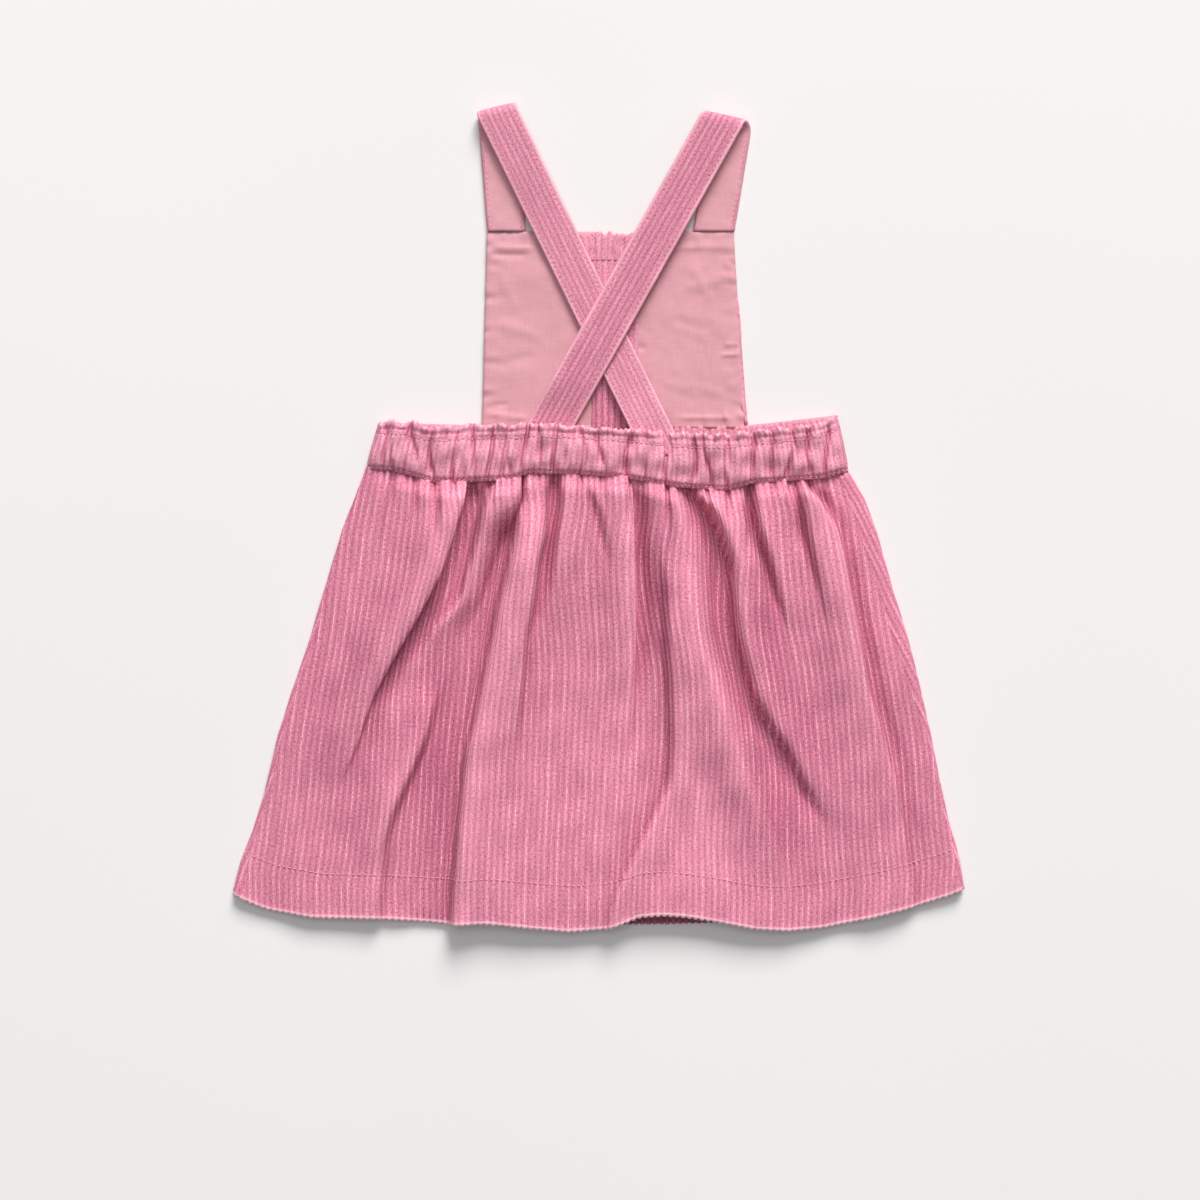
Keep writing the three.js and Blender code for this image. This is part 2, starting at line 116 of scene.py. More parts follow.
# Folds of the gathered back panel.  Each follows a line of (X, Y, strength) from the waist down.
# left and right are the height and width of the cloth beside the line, gap the depth, width and
# offset of the trough, edge the half width of the step and lean how far its lip hangs over.
FOLDS = [
    dict(line=[(-66.4, 18, 1), (-67.4, 6, 1), (-71.4, -5, 1), (-77.9, -27, 1), (-82.9, -37, 1),
               (-91.9, -54, 0.95), (-101.4, -70, 0.8), (-112.9, -92, 0.45), (-120, -114, 0.25),
               (-128.4, -134, 0)],
         left=(4.6, 22), right=(0.4, 10), gap=(2.6, 4.5, 3.5), edge=1.6, lean=1.8),
    dict(line=[(-52.9, 18, 1), (-57.9, 1.5, 1), (-62.4, -17.5, 0.9), (-69.4, -42, 0.6),
               (-82.9, -56.5, 0.25), (-90, -75, 0)],
         left=(0.2, 8), right=(3.6, 14), gap=(2.2, 4.0, -3.0), edge=1.6, lean=1.3),
    dict(line=[(-38.9, 18, 1), (-38.9, 7.5, 1), (-41.9, 0, 0.7), (-42, -10, 0)],
         left=(3.0, 12), right=(1.5, 8), gap=(3.2, 1.7, 0.6), edge=1.0, lean=0.8),
    dict(line=[(-40.5, 4, 0), (-41.9, -10, 0.7), (-46.4, -27.5, 1), (-51.4, -46.5, 1),
               (-53.9, -60.5, 1), (-57.6, -77, 1), (-63.4, -104.5, 1), (-66.9, -117, 1),
               (-70.4, -147, 1), (-72.9, -178.5, 1), (-74.9, -201.5, 1)],
         left=(-2.8, 17), right=(4.2, 22), gap=(2.4, 4.6, -3.0), edge=1.5, lean=1.7),
    dict(line=[(-24, 8, 0), (-24.9, -9, 0.8), (-29.9, -24, 1), (-32.4, -44, 1),
               (-35.9, -60.5, 0.8), (-38.4, -92, 0.45), (-42, -125, 0)],
         left=(3.0, 11), right=(-0.6, 12), gap=(0, 1, 0), edge=3.2, lean=0.3),
    dict(line=[(-21.4, 18, 1), (-21.9, 6, 1), (-23.4, -8.5, 1), (-25.4, -23.5, 0.8),
               (-26.9, -37.5, 0.45), (-31.4, -57, 0)],
         left=(1.6, 8), right=(3.2, 16), gap=(4.6, 3.8, -0.5), edge=2.0, lean=0.6),
    dict(line=[(-5.2, 16, 0.2), (-4.4, 9.5, 1), (-0.9, -0.5, 1), (2.6, -15, 0.5), (5, -26, 0)],
         left=(0.5, 5), right=(0.9, 6), gap=(1.7, 2.4, 0), edge=1.4, lean=0.2),
    dict(line=[(15.6, 18, 1), (16.6, 2, 1), (17.1, -17.5, 1), (18.1, -31.5, 0.95),
               (18.6, -48, 0.8), (18.1, -68.5, 0.5), (17.6, -92.5, 0.2), (16, -118, 0)],
         left=(3.8, 16), right=(0.4, 8), gap=(2.8, 4.2, 3.0), edge=1.5, lean=1.3),
    dict(line=[(31, -18, 0), (32.6, -35.5, 0.7), (33.1, -48, 0.9), (33.6, -64.5, 1), (35.6, -92, 1),
               (36.1, -116, 1), (34.1, -135.5, 1), (24.6, -154.5, 0.9), (15.1, -173.5, 0.8),
               (8.1, -188, 0.7), (5, -200, 0.6)],
         left=(-1.0, 14), right=(1.8, 16), gap=(0, 1, 0), edge=4.6, lean=0.3),
    dict(line=[(34.6, 18, 1), (39.6, 3.5, 1), (41.1, -10.5, 1), (43.6, -27.5, 1), (47.1, -44, 1),
               (50.1, -64.5, 1), (57.1, -85.5, 1), (66.6, -114.5, 1), (73.1, -135.5, 0.9),
               (80.1, -152.5, 0.7), (84.6, -164, 0.5), (89.6, -180, 0.3)],
         left=(3.4, 17), right=(3.4, 9), gap=(0, 1, 0), edge=2.0, lean=0),
    dict(line=[(46.6, 16, 0.8), (51.1, 6, 1), (56.1, -1.5, 1), (59.6, -8, 1), (62.1, -15.5, 1),
               (65.1, -24, 1), (65.1, -35.5, 1), (66.1, -48, 1), (67.6, -60.5, 0.95),
               (71.1, -73, 0.85), (77.1, -92, 0.7), (83.6, -103.5, 0.6), (91.6, -114.5, 0.5),
               (102.1, -134.5, 0.35), (115.6, -154.5, 0)],
         left=(-1.4, 11), right=(3.8, 17), gap=(3.8, 5.4, -3.8), edge=1.6, lean=1.7),
    dict(line=[(76.1, 18, 1), (77.1, 2, 1), (79.1, -8, 1), (83.6, -20.5, 0.9), (90.1, -43, 0.5),
               (94, -58, 0)],
         left=(0.4, 6), right=(2.4, 11), gap=(2.6, 2.8, -1.6), edge=1.3, lean=0.8),
    dict(line=[(98.6, 16, 1), (101.1, 3.5, 1), (103.1, -9, 1), (106.1, -20.5, 0.8),
               (111.1, -42, 0.3), (114, -56, 0)],
         left=(0.3, 5), right=(1.6, 8), gap=(2.0, 2.4, -1.2), edge=1.2, lean=0.5),
    dict(line=[(100.1, 18, 0.7), (108.6, 8.5, 1), (113.1, 2, 1), (118.1, -5.5, 1), (120.1, -12.5, 1),
               (122.6, -23, 1), (125.6, -39.5, 1), (129.1, -56, 1), (130.6, -64.5, 1),
               (134.6, -87.5, 0.75), (141.1, -106.5, 0.55), (149.6, -135.5, 0.35),
               (154.6, -168.5, 0.25), (157, -190, 0.2)],
         left=(3.2, 20), right=(-0.6, 8), gap=(1.0, 4.0, 3.4), edge=3.6, lean=0.5),
    dict(line=[(-79, -84, 0), (-81.4, -97, 0.7), (-85.4, -111.5, 1), (-91.4, -126, 1),
               (-96.9, -137.5, 1), (-101.9, -148.5, 0.9), (-106.4, -164, 0.7), (-109, -200, 0.5)],
         left=(2.4, 18), right=(-0.8, 12), gap=(0, 1, 0), edge=4.0, lean=0.2),
    dict(line=[(-91.4, 18, 1), (-91.8, 8, 0.5), (-93, -2, 0)],
         left=(1.6, 7), right=(0.8, 5), gap=(1.6, 1.8, 0), edge=1.2, lean=0),
    dict(line=[(-80.4, 18, 1), (-79.4, 3.5, 0.8), (-81, -12, 0)],
         left=(1.0, 6), right=(1.2, 7), gap=(1.8, 2.0, 0), edge=1.2, lean=0),
    dict(line=[(-102.9, 18, 0.8), (-106.4, 2, 0.6), (-110, -18, 0)],
         left=(0.6, 6), right=(0.8, 6), gap=(1.0, 1.8, 0), edge=1.2, lean=0),
]

# Waves of the free hem: X, height at the hem, half width and the share of the panel where it starts.
HEM_WAVES = [(-140, 1.6, 26, 0.6), (-105, 0.8, 24, 0.5), (-34, 5.0, 34, 0.45), (2, 4.4, 30, 0.5),
             (33, 6.0, 27, 0.72), (62, 5.4, 30, 0.6), (98, 2.0, 28, 0.55), (140, 2.0, 26, 0.6)]

# Patches of painted shade, or of painted light where the last value is below zero: X, Y, half width,
# half length and how much.
PAINTED_SHADE_PATCHES = [
    (-83, -112, 12, 60, 0.7), (-125, -112, 26, 60, 0.28), (80, -60, 13, 38, 0.5),
    (93, -128, 20, 44, 0.7), (31, -36, 7, 44, 0.35), (150, -125, 16, 48, 0.3),
    (52, -150, 13, 45, -0.3), (-52, -150, 12, 50, -0.15), (-10, -30, 22, 40, -0.1),
]

# The straps: left and right corner of each end and of the shoulder fold, that fold's radius, how far
# the pile is rubbed, and the heights of the upper half from the fold to the waist.  back_fold is where
# the upper half leaves the fold, if it's twisted there.
STRAPS = {
    "left": dict(front=((-55.9, 141.5), (-36.4, 141.5)), fold=((-61.4, 201.5), (-41.2, 206.45)),
                 back=((21.6, 29.5), (43.6, 29.5)), radius=2.5, wear=0.48,
                 heights=(6.75, 6.2, 5.6, 5, 4.7, 4.55, 4.55, 4.55, 5.8, 8.4, 9.2)),
    "right": dict(front=((46.8, 141.5), (68.0, 141.5)), fold=((57.0, 199.6), (77.1, 195.6)),
                  back_fold=((50.6, 203.3), (72.8, 198.2)),
                  back=((-42.7, 33), (-18.7, 31.5)), radius=3.6, wear=0.3,
                  heights=(8.95, 8.9, 8.7, 8.5, 8.3, 8.1, 8, 8, 7.6, 4.65, 4.55)),
}
STRAP_HALF = 0.15          # half of the gap between a strap's two cloths
STRAP_WALL = 1.15          # outside of the strap's corduroy, from the middle, without its pile
STRAP_WRAP = 1.5           # width of the corduroy turned round each edge of a strap
STRAP_INSIDE = 1.0         # how far behind the middle that turning lies
STRAP_LOW = 1.6            # height of a strap's lower half, besides that gap
STRAP_PILE = 0.45          # room for the pile outside a strap's edges
STRAP_RIBS = 0.26          # height of its ribs
STRAP_WALES = 9            # wales in its corduroy, with what is turned in
STRAP_STITCHED = 0.315     # its topstitching lies at this share of that width from the middle
STRAP_PALE_EDGE_AND_HIGHLIGHT = 1.15     # how pale its edges are painted: a painted highlight and pile pale from rubbing
STRAP_LINING = 20.0        # width of its lining
STRAP_CLOTH = 0.6          # thickness of its corduroy under the pile
STRAP_LINING_WALL = 0.4
STRAP_LINING_LIES = 1.25   # how far behind the middle the lining's face lies


# ------------------------------------------------------------------ small maths
def ease(value):
    """A smooth step from 0 to 1."""
    value = np.clip(value, 0.0, 1.0)
    return value * value * (3.0 - 2.0 * value)


def bell(distance, width):
    """A bump of height 1 that fades with distance."""
    return np.exp(-(distance / width) ** 2)


def mix(start, end, share):
    """The value a share of the way from start to end."""
    return start + (end - start) * share


def column(table, place):
    """One column of a table as an array."""
    return np.array([row[place] for row in table], float)


def drift(seed, shortest, longest, count=7):
    """A soft, repeatable unevenness: a function of x and y in millimetres, about -1 to 1."""
    rng = np.random.default_rng(seed)
    sizes = rng.uniform(shortest, longest, count)
    turns = rng.uniform(0, math.tau, count)
    starts = rng.uniform(0, math.tau, count)

    def at(x, y):
        total = 0.0
        for size, turn, start in zip(sizes, turns, starts):
            along = x * math.cos(turn) + y * math.sin(turn)
            total = total + np.sin(math.tau * along / size + start)
        return total / math.sqrt(count)
    return at


def blur(values, reach, axis):
    """Softens a table of values along one axis, over reach rows to either side."""
    window = np.hanning(2 * reach + 3)[1:-1]
    window /= window.sum()
    ends = [(0, 0), (0, 0)]
    ends[axis] = (reach, reach)
    padded = np.pad(values, ends, mode="edge")
    total = np.zeros_like(values)
    for place, weight in enumerate(window):
        cut = [slice(None), slice(None)]
        cut[axis] = slice(place, place + values.shape[axis])
        total += weight * padded[tuple(cut)]
    return total


def run_along(points):
    """The distance of each point of a path from its start, along it."""
    return np.concatenate([[0], np.cumsum(np.linalg.norm(np.diff(points, axis=0), axis=1))])


def evenly(points, count):
    """The same path in evenly spaced points, a column at a time."""
    runs = run_along(points)
    even = np.linspace(0, runs[-1], count)
    return [np.interp(even, runs, points[:, axis]) for axis in range(points.shape[1])]


# ------------------------------------------------------------------ outlines from the frame
def rim(node, facing):
    """The plan of a CAD node's rim where it faces a direction: sorted rows of x and y in mm."""
    shell = bmesh.new()
    shell.from_mesh(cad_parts[node].data)
    bmesh.ops.remove_doubles(shell, verts=shell.verts, dist=0.02 * MM)
    facing = Vector(facing)
    rows = {
        (round(vert.co.x / MM, 2), round(vert.co.y / MM, 2))
        for face in shell.faces if face.normal.dot(facing) > 0.85 for vert in face.verts
    }
    shell.free()
    order = 0 if facing.y else 1
    return np.array(sorted(rows, key=lambda row: row[order]))


def even_read(rows, value_column, share):
    """Reads rows that are evenly spaced in share, such as the points of a CAD edge."""
    return np.interp(share, np.linspace(0, 1, len(rows)), rows[:, value_column])


# ------------------------------------------------------------------ forms that cloth is laid on
class Form:
    """A surface given by rows of points across it, each row at its length along the cloth.  calm is
    the number of rows over which the wales are held from wandering.  The pile is painted pale, as
    painted light, on what stands above its surroundings, and dark, as painted shade, in what lies low
    and on slopes, over a distance of reach and again over a few millimetres."""

    def __init__(self, lengths, points, calm=0, reach=0.0, shade_range=FOLD_SHADE_RANGE, wear=WEAR):
        self.lengths = np.asarray(lengths, float)
        self.points = np.asarray(points, float)
        steps = np.linalg.norm(np.diff(self.points, axis=1), axis=2)
        runs = np.concatenate([np.zeros((len(steps), 1)), np.cumsum(steps, axis=1)], axis=1)
        width = float(runs[:, -1].mean())
        self.shares = runs / runs[:, -1:]
        if calm:
            self.shares = blur(self.shares, calm, 0)
        wear_and_painted_light = np.full(runs.shape, wear)
        if reach:
            height = self.points[:, :, 2]
            samples = height.shape[1] / width    # to a millimetre
            around = blur(blur(height, round(reach * samples), 1), FOLD_SHADE_ROWS, 0)
            near = blur(height, round(FOLD_SHADE_NEAR * samples), 1)
            slope = np.abs(np.gradient(height, axis=1)) / np.maximum(np.gradient(runs, axis=1), 1e-6)
            # Painted light on what stands high, painted shade in what lies low and on slopes.
            wear_and_painted_light = wear + (height - around) / shade_range + (height - near) / FOLD_SHADE_FINE - SLOPE_SHADE * slope
            wear_and_painted_light = np.clip(wear_and_painted_light, 0, 1)
        self.points = np.concatenate([self.points, wear_and_painted_light[:, :, None]], axis=2)

    def read(self, share, length):
        """X, Y, Z and wear at a share of each row's own width and at a length."""
        share = np.asarray(share, float)
        length = np.clip(np.asarray(length, float), self.lengths[0], self.lengths[-1])
        below = np.clip(np.searchsorted(self.lengths, length, side="right") - 1, 0,
                        len(self.lengths) - 2)
        placed = np.zeros((len(share), 4))
        for row in np.unique(below):
            here = below == row
            span = self.lengths[row + 1] - self.lengths[row]
            part = ((length[here] - self.lengths[row]) / span)[:, None]
            first = self._row(row, share[here])
            second = self._row(row + 1, share[here])
            placed[here] = first + (second - first) * part
        return placed

    def place(self, share, length):
        """Points on the form at a share of each row's own width and at a length."""
        return self.read(share, length)[:, :3]

    def _row(self, row, share):
        return np.stack([np.interp(share, self.shares[row], self.points[row, :, axis])
                         for axis in range(4)], axis=1)

    def normals(self, share, length, step=0.6):
        """Unit normals of the form, to the side that the cloth's face is on."""
        width = np.linalg.norm(np.diff(self.points[len(self.points) // 2], axis=0), axis=1).sum()
        nudge = step / width
        across = self.place(share + nudge, length) - self.place(share - nudge, length)
        along = self.place(share, length - step) - self.place(share, length + step)
        normal = np.cross(across, along)
        return normal / np.maximum(np.linalg.norm(normal, axis=1, keepdims=True), 1e-9)


# ------------------------------------------------------------------ cloth
def cut_cloth(columns, rows, width, length, spacing=None, sides=None):
    """Cuts a flat cloth as a bmesh in millimetres, its top edge at y = 0.  spacing maps an even
    0..1 to the rows' share of the length, and sides are the half widths at the top and bottom."""
    sheet = bmesh.new()
    bmesh.ops.create_grid(sheet, x_segments=columns, y_segments=rows, size=0.5)
    for vert in sheet.verts:
        down = 0.5 - vert.co.y
        vert.co = (vert.co.x * width, -length * (spacing(down) if spacing else down), 0)
    if sides:
        slope = (sides[1] - sides[0]) / length
        for side in (-1, 1):
            bmesh.ops.bisect_plane(
                sheet, geom=[*sheet.verts, *sheet.edges, *sheet.faces], dist=1e-4,
                plane_co=(side * sides[0], 0, 0), plane_no=(side, slope, 0), clear_outer=True,
            )
    return sheet


def lay_cloth(name, sheet, form, width_at, relief, material, wall):
    """Lays a flat cloth on a form, raises its face by relief and gives it thickness inwards."""
    mesh = bpy.data.meshes.new(name)
    sheet.to_mesh(mesh)
    sheet.free()
    flat = np.zeros(len(mesh.vertices) * 3)
    mesh.vertices.foreach_get("co", flat)
    flat = flat.reshape(-1, 3)
    across = flat[:, 0]
    length = -flat[:, 1]
    share = np.clip(0.5 + across / width_at(length), 0, 1)
    placed = form.read(share, length)
    placed, wear_and_painted_light = placed[:, :3].copy(), placed[:, 3].copy()
    mesh.vertices.foreach_set("co", (placed * MM).ravel())
    mesh.update()
    normals = np.zeros(len(mesh.vertices) * 3)
    mesh.vertex_normals.foreach_get("vector", normals)
    placed += normals.reshape(-1, 3) * relief(across, length)[:, None]
    mesh.vertices.foreach_set("co", (placed * MM).ravel())
    corners = np.zeros(len(mesh.loops), int)
    mesh.loops.foreach_get("vertex_index", corners)
    cloth_map = mesh.uv_layers.new(name="cloth")
    wales = np.stack([across[corners] / WALE, length[corners] / WALE], axis=1)
    cloth_map.data.foreach_set("uv", wales.ravel())
    # The attribute carries the pile's wear and its painted light and shade to the material.
    wear = mesh.attributes.new("wear_and_painted_light", "FLOAT", "POINT")
    wear.data.foreach_set("value", wear_and_painted_light)
    mesh.polygons.foreach_set("use_smooth", np.ones(len(mesh.polygons), bool))
    mesh.materials.append(material)
    mesh.update()
    piece = bpy.data.objects.new(name, mesh)
    bpy.context.scene.collection.objects.link(piece)
    thickness = piece.modifiers.new("cloth thickness", "SOLIDIFY")
    thickness.thickness = wall * MM
    thickness.offset = -1
    return piece


def pressed(height, press, distance):
    """How far stitching presses ribs of that height down at a distance from it."""
    share, depth, reach = press
    return (share * height + depth) * bell(distance, reach)


def ribs(height, seams=(), lines=(), bends=(), seed=3):
    """Relief of corduroy: rounded ribs with a little unevenness, pressed down at each seam, which
    is a length along the cloth, and at each line, which is a place across it.  At each bend, which
    is a length too, they stand out."""
    pile = drift(seed, 5, 40)

    def relief(across, length):
        phase = np.mod(across / WALE, 1.0) * RIB_COLUMNS
        raised = np.interp(phase, range(RIB_COLUMNS + 1), (*RIB_PROFILE, RIB_PROFILE[0]))
        raised = height * raised * (1.0 + RIB_UNEVEN * pile(across, length))
        for bend in bends:
            raised = raised * (1 + BEND_GAIN * bell(length - bend, BEND_REACH))
        for seam in seams:
            raised = raised - pressed(height, SEAM_PRESS, length - seam)
        for line in lines:
            raised = raised - pressed(height, LINE_PRESS, across - line)
        return raised
    return relief


def smooth_weave(height, seed):
    """Relief of plain cotton: only small wrinkles."""
    wrinkle = drift(seed, 9, 34, 9)
    fine = drift(seed + 1, 4, 9, 7)
    return lambda across, length: height * (wrinkle(across, length) + 0.35 * fine(across, length))


SHORTEST_STITCH = 0.1
THREAD_FLAT = 1.2          # how much wider a stitch is than it is high


def sew(name, rows, material, thickness=0.5):
    """Makes joined stitches.  Each row is (points, normals, stitch length, share that shows)."""
    thread = bmesh.new()
    for points, normals, pitch, shown in rows:
        runs = run_along(points)
        for middle in np.arange(pitch / 2, runs[-1], pitch):
            ends = [np.array([np.interp(middle + side * pitch * shown / 2, runs, points[:, axis])
                              for axis in range(3)]) for side in (-1, 1)]
            up = Vector([np.interp(middle, runs, normals[:, axis]) for axis in range(3)])
            along = Vector(ends[1] - ends[0])
            if along.length < SHORTEST_STITCH:
                continue
            side = up.cross(along).normalized()
            up = along.normalized().cross(side).normalized()
            turn = Matrix((along.normalized(), side, up)).transposed().to_4x4()
            size = Matrix.Diagonal((along.length / 2, thickness / 2, thickness / 2 / THREAD_FLAT, 1))
            centre = Matrix.Translation(Vector((ends[0] + ends[1]) / 2))
            scale = Matrix.Scale(MM, 4)
            bmesh.ops.create_uvsphere(thread, u_segments=6, v_segments=4, radius=1,
                                      matrix=scale @ centre @ turn @ size)
    mesh = bpy.data.meshes.new(name)
    thread.to_mesh(mesh)
    thread.free()
    mesh.polygons.foreach_set("use_smooth", np.ones(len(mesh.polygons), bool))
    mesh.materials.append(material)
    piece = bpy.data.objects.new(name, mesh)
    bpy.context.scene.collection.objects.link(piece)
    return piece


def seam_along(form, shares, length, lift):
    """Points and normals of a row of stitches across a form at one length."""
    lengths = np.full(len(shares), length) if np.isscalar(length) else length
    normals = form.normals(shares, lengths)
    return form.place(shares, lengths) + normals * lift, normals


# ------------------------------------------------------------------ materials
TUFT_DARK = 0.5            # how dark the pile is between its tufts
INSIDE_SHADE = 0.6         # how dark the painted shade is inside a hem
TIP_LIGHT = 0.27           # how pale the tips of the tufts are away from a rib's top


def linear(colour_hex):
    """An sRGB hex colour as linear RGBA."""
    parts = [int(colour_hex[at:at + 2], 16) / 255 for at in (1, 3, 5)]
    return (*[c / 12.92 if c <= 0.04045 else ((c + 0.055) / 1.055) ** 2.4 for c in parts], 1.0)


def add(tree, kind, inputs=None, **settings):
    """Adds a node with its settings, and links or fills its inputs by name or number."""
    made = tree.nodes.new(kind)
    for key, value in settings.items():
        setattr(made, key, value)
    for key, value in (inputs or {}).items():
        socket = made.inputs[key]
        if isinstance(value, bpy.types.NodeSocket):
            tree.links.new(value, socket)
        else:
            socket.default_value = value
    return made


def new_material(name):
    """An empty node material with its output, returned with its tree."""
    material = bpy.data.materials.new(name)
    material.use_nodes = True
    material.node_tree.nodes.clear()
    return material, material.node_tree


def corduroy(name, rib, groove, bloom, deep, groove_shade_and_tuft_gaps, pile=1.0, lines=(0.12, 0.72)):
    """Cotton corduroy, woven, cut and brushed: soft ribs with a broken pale line on their tops, a
    short speckled pile that catches light at grazing angles, ribs that differ a little, painted shade
    in a darker colour where the cloth lies low in a fold and inside hems, and a painted highlight with
    pale pile along turned edges.  pile scales its bump, and lines holds the least and most that the
    pale line shows."""
    material, tree = new_material(name)
    cloth = add(tree, "ShaderNodeUVMap", uv_map="cloth")
    place = add(tree, "ShaderNodeTexCoord")
    parts = add(tree, "ShaderNodeSeparateXYZ", {0: cloth.outputs[0]})
    phase = add(tree, "ShaderNodeMath", {0: parts.outputs[0]}, operation="FRACT")
    centred = add(tree, "ShaderNodeMath", {0: phase.outputs[0], 1: 0.5}, operation="SUBTRACT")
    off_top = add(tree, "ShaderNodeMath", {0: centred.outputs[0]}, operation="ABSOLUTE")
    depth = add(tree, "ShaderNodeMapRange", {0: off_top.outputs[0], 1: 0.26, 2: 0.5, 3: 0.0, 4: 1.0},
                interpolation_type="SMOOTHSTEP")
    crown = add(tree, "ShaderNodeMapRange", {0: off_top.outputs[0], 1: 0.01, 2: 0.15, 3: 1.0, 4: 0.0},
                interpolation_type="SMOOTHSTEP")
    # Tufts of pile.  They are about 0.5 mm across, and drawn at 0.9 mm so that they show.
    stretch = add(tree, "ShaderNodeMapping", {0: cloth.outputs[0], 3: (3.8, 2.9, 1.0)})
    tufts = add(tree, "ShaderNodeTexNoise", {"Vector": stretch.outputs[0], "Scale": 1.0,
                                             "Detail": 2.0, "Roughness": 0.75})
    # Each rib has its own shade, which changes slowly along it.
    long = add(tree, "ShaderNodeMapping", {0: cloth.outputs[0], 3: (1.0, 0.13, 1.0)})
    strands = add(tree, "ShaderNodeTexNoise", {"Vector": long.outputs[0], "Scale": 1.0,
                                               "Detail": 2.0, "Roughness": 0.6})
    # Nap that lies another way in patches 15 to 60 mm across.
    nap = add(tree, "ShaderNodeTexNoise", {"Vector": place.outputs["Object"], "Scale": 28.0,
                                           "Detail": 2.5, "Roughness": 0.55})
    # Painted light and shade: the attribute is low in folds, on slopes and inside hems, and high on
    # ridges and turned edges.
    wear_and_painted_light = add(tree, "ShaderNodeAttribute", attribute_name="wear_and_painted_light", attribute_type="GEOMETRY")
    # Painted shade: where the attribute is low, ribs take the fold colour deep and grooves the groove
    # shade colour.
    fold_shade_share = add(tree, "ShaderNodeMapRange", {0: wear_and_painted_light.outputs["Fac"], 1: 0.0, 2: 1.0, 3: 1.0, 4: 0.0})
    shaded_rib = add(tree, "ShaderNodeMix", {0: fold_shade_share.outputs[0], 6: linear(rib), 7: linear(deep)},
               data_type="RGBA")
    trough = add(tree, "ShaderNodeMix", {0: fold_shade_share.outputs[0], 6: linear(groove),
                                         7: linear(groove_shade_and_tuft_gaps)}, data_type="RGBA")
    base = add(tree, "ShaderNodeMix", {0: depth.outputs[0], 6: shaded_rib.outputs[2],
                                       7: trough.outputs[2]}, data_type="RGBA")
    gap = add(tree, "ShaderNodeMapRange", {0: tufts.outputs[0], 1: 0.34, 2: 0.52,
                                           3: TUFT_DARK, 4: 0.0})
    between = add(tree, "ShaderNodeMix", {0: gap.outputs[0], 6: base.outputs[2],
                                          7: linear(groove_shade_and_tuft_gaps)}, data_type="RGBA")
    line = add(tree, "ShaderNodeMapRange", {0: strands.outputs[0], 1: 0.38, 2: 0.62,
                                            3: lines[0], 4: lines[1]})
    tip = add(tree, "ShaderNodeMapRange", {0: tufts.outputs[0], 1: 0.36, 2: 0.64, 3: 0.1, 4: 1.0})
    top = add(tree, "ShaderNodeMath", {0: crown.outputs[0], 1: line.outputs[0]},
              operation="MULTIPLY")
    light = add(tree, "ShaderNodeMath", {0: top.outputs[0], 1: TIP_LIGHT}, operation="ADD")
    lit = add(tree, "ShaderNodeMath", {0: light.outputs[0], 1: tip.outputs[0]},
              operation="MULTIPLY", use_clamp=True)
    tops = add(tree, "ShaderNodeMix", {0: lit.outputs[0], 6: between.outputs[2], 7: linear(bloom)},
               data_type="RGBA")
    own = add(tree, "ShaderNodeMapRange", {0: strands.outputs[0], 1: 0.35, 2: 0.65, 3: 0.93, 4: 1.07})
    patch = add(tree, "ShaderNodeMapRange", {0: nap.outputs[0], 1: 0.3, 2: 0.7, 3: 0.95, 4: 1.05})
    varied = add(tree, "ShaderNodeMath", {0: own.outputs[0], 1: patch.outputs[0]},
                 operation="MULTIPLY")
    # Painted shade inside a hem.
    inside = add(tree, "ShaderNodeMapRange", {0: wear_and_painted_light.outputs["Fac"], 1: HEM_SHADE_MARK, 2: 0.0,
                                              3: INSIDE_SHADE, 4: 1.0})
    both = add(tree, "ShaderNodeMath", {0: varied.outputs[0], 1: inside.outputs[0]},
               operation="MULTIPLY")
    # Painted highlight along turned edges, with their pale pile.
    edge = add(tree, "ShaderNodeMapRange", {0: wear_and_painted_light.outputs["Fac"], 1: 1.0, 2: PALE_EDGE_AND_HIGHLIGHT,
                                            3: 0.0, 4: 0.9})
    edged = add(tree, "ShaderNodeMix", {0: edge.outputs[0], 6: tops.outputs[2], 7: linear(bloom)},
                data_type="RGBA")
    tone = add(tree, "ShaderNodeHueSaturation", {"Value": both.outputs[0],
                                                 "Color": edged.outputs[2]})
    bump = add(tree, "ShaderNodeBump", {"Strength": 0.7, "Distance": 0.0003 * pile,
                                        "Height": tufts.outputs[0]})
    shader = add(tree, "ShaderNodeBsdfPrincipled", {
        "Base Color": tone.outputs[0], "Roughness": 0.95, "IOR": 1.46,
        "Specular IOR Level": 0.1, "Sheen Weight": 0.3, "Sheen Roughness": 0.35,
        "Sheen Tint": linear("#FFB0C6"), "Normal": bump.outputs[0],
    })
    add(tree, "ShaderNodeOutputMaterial", {0: shader.outputs[0]})
    return material


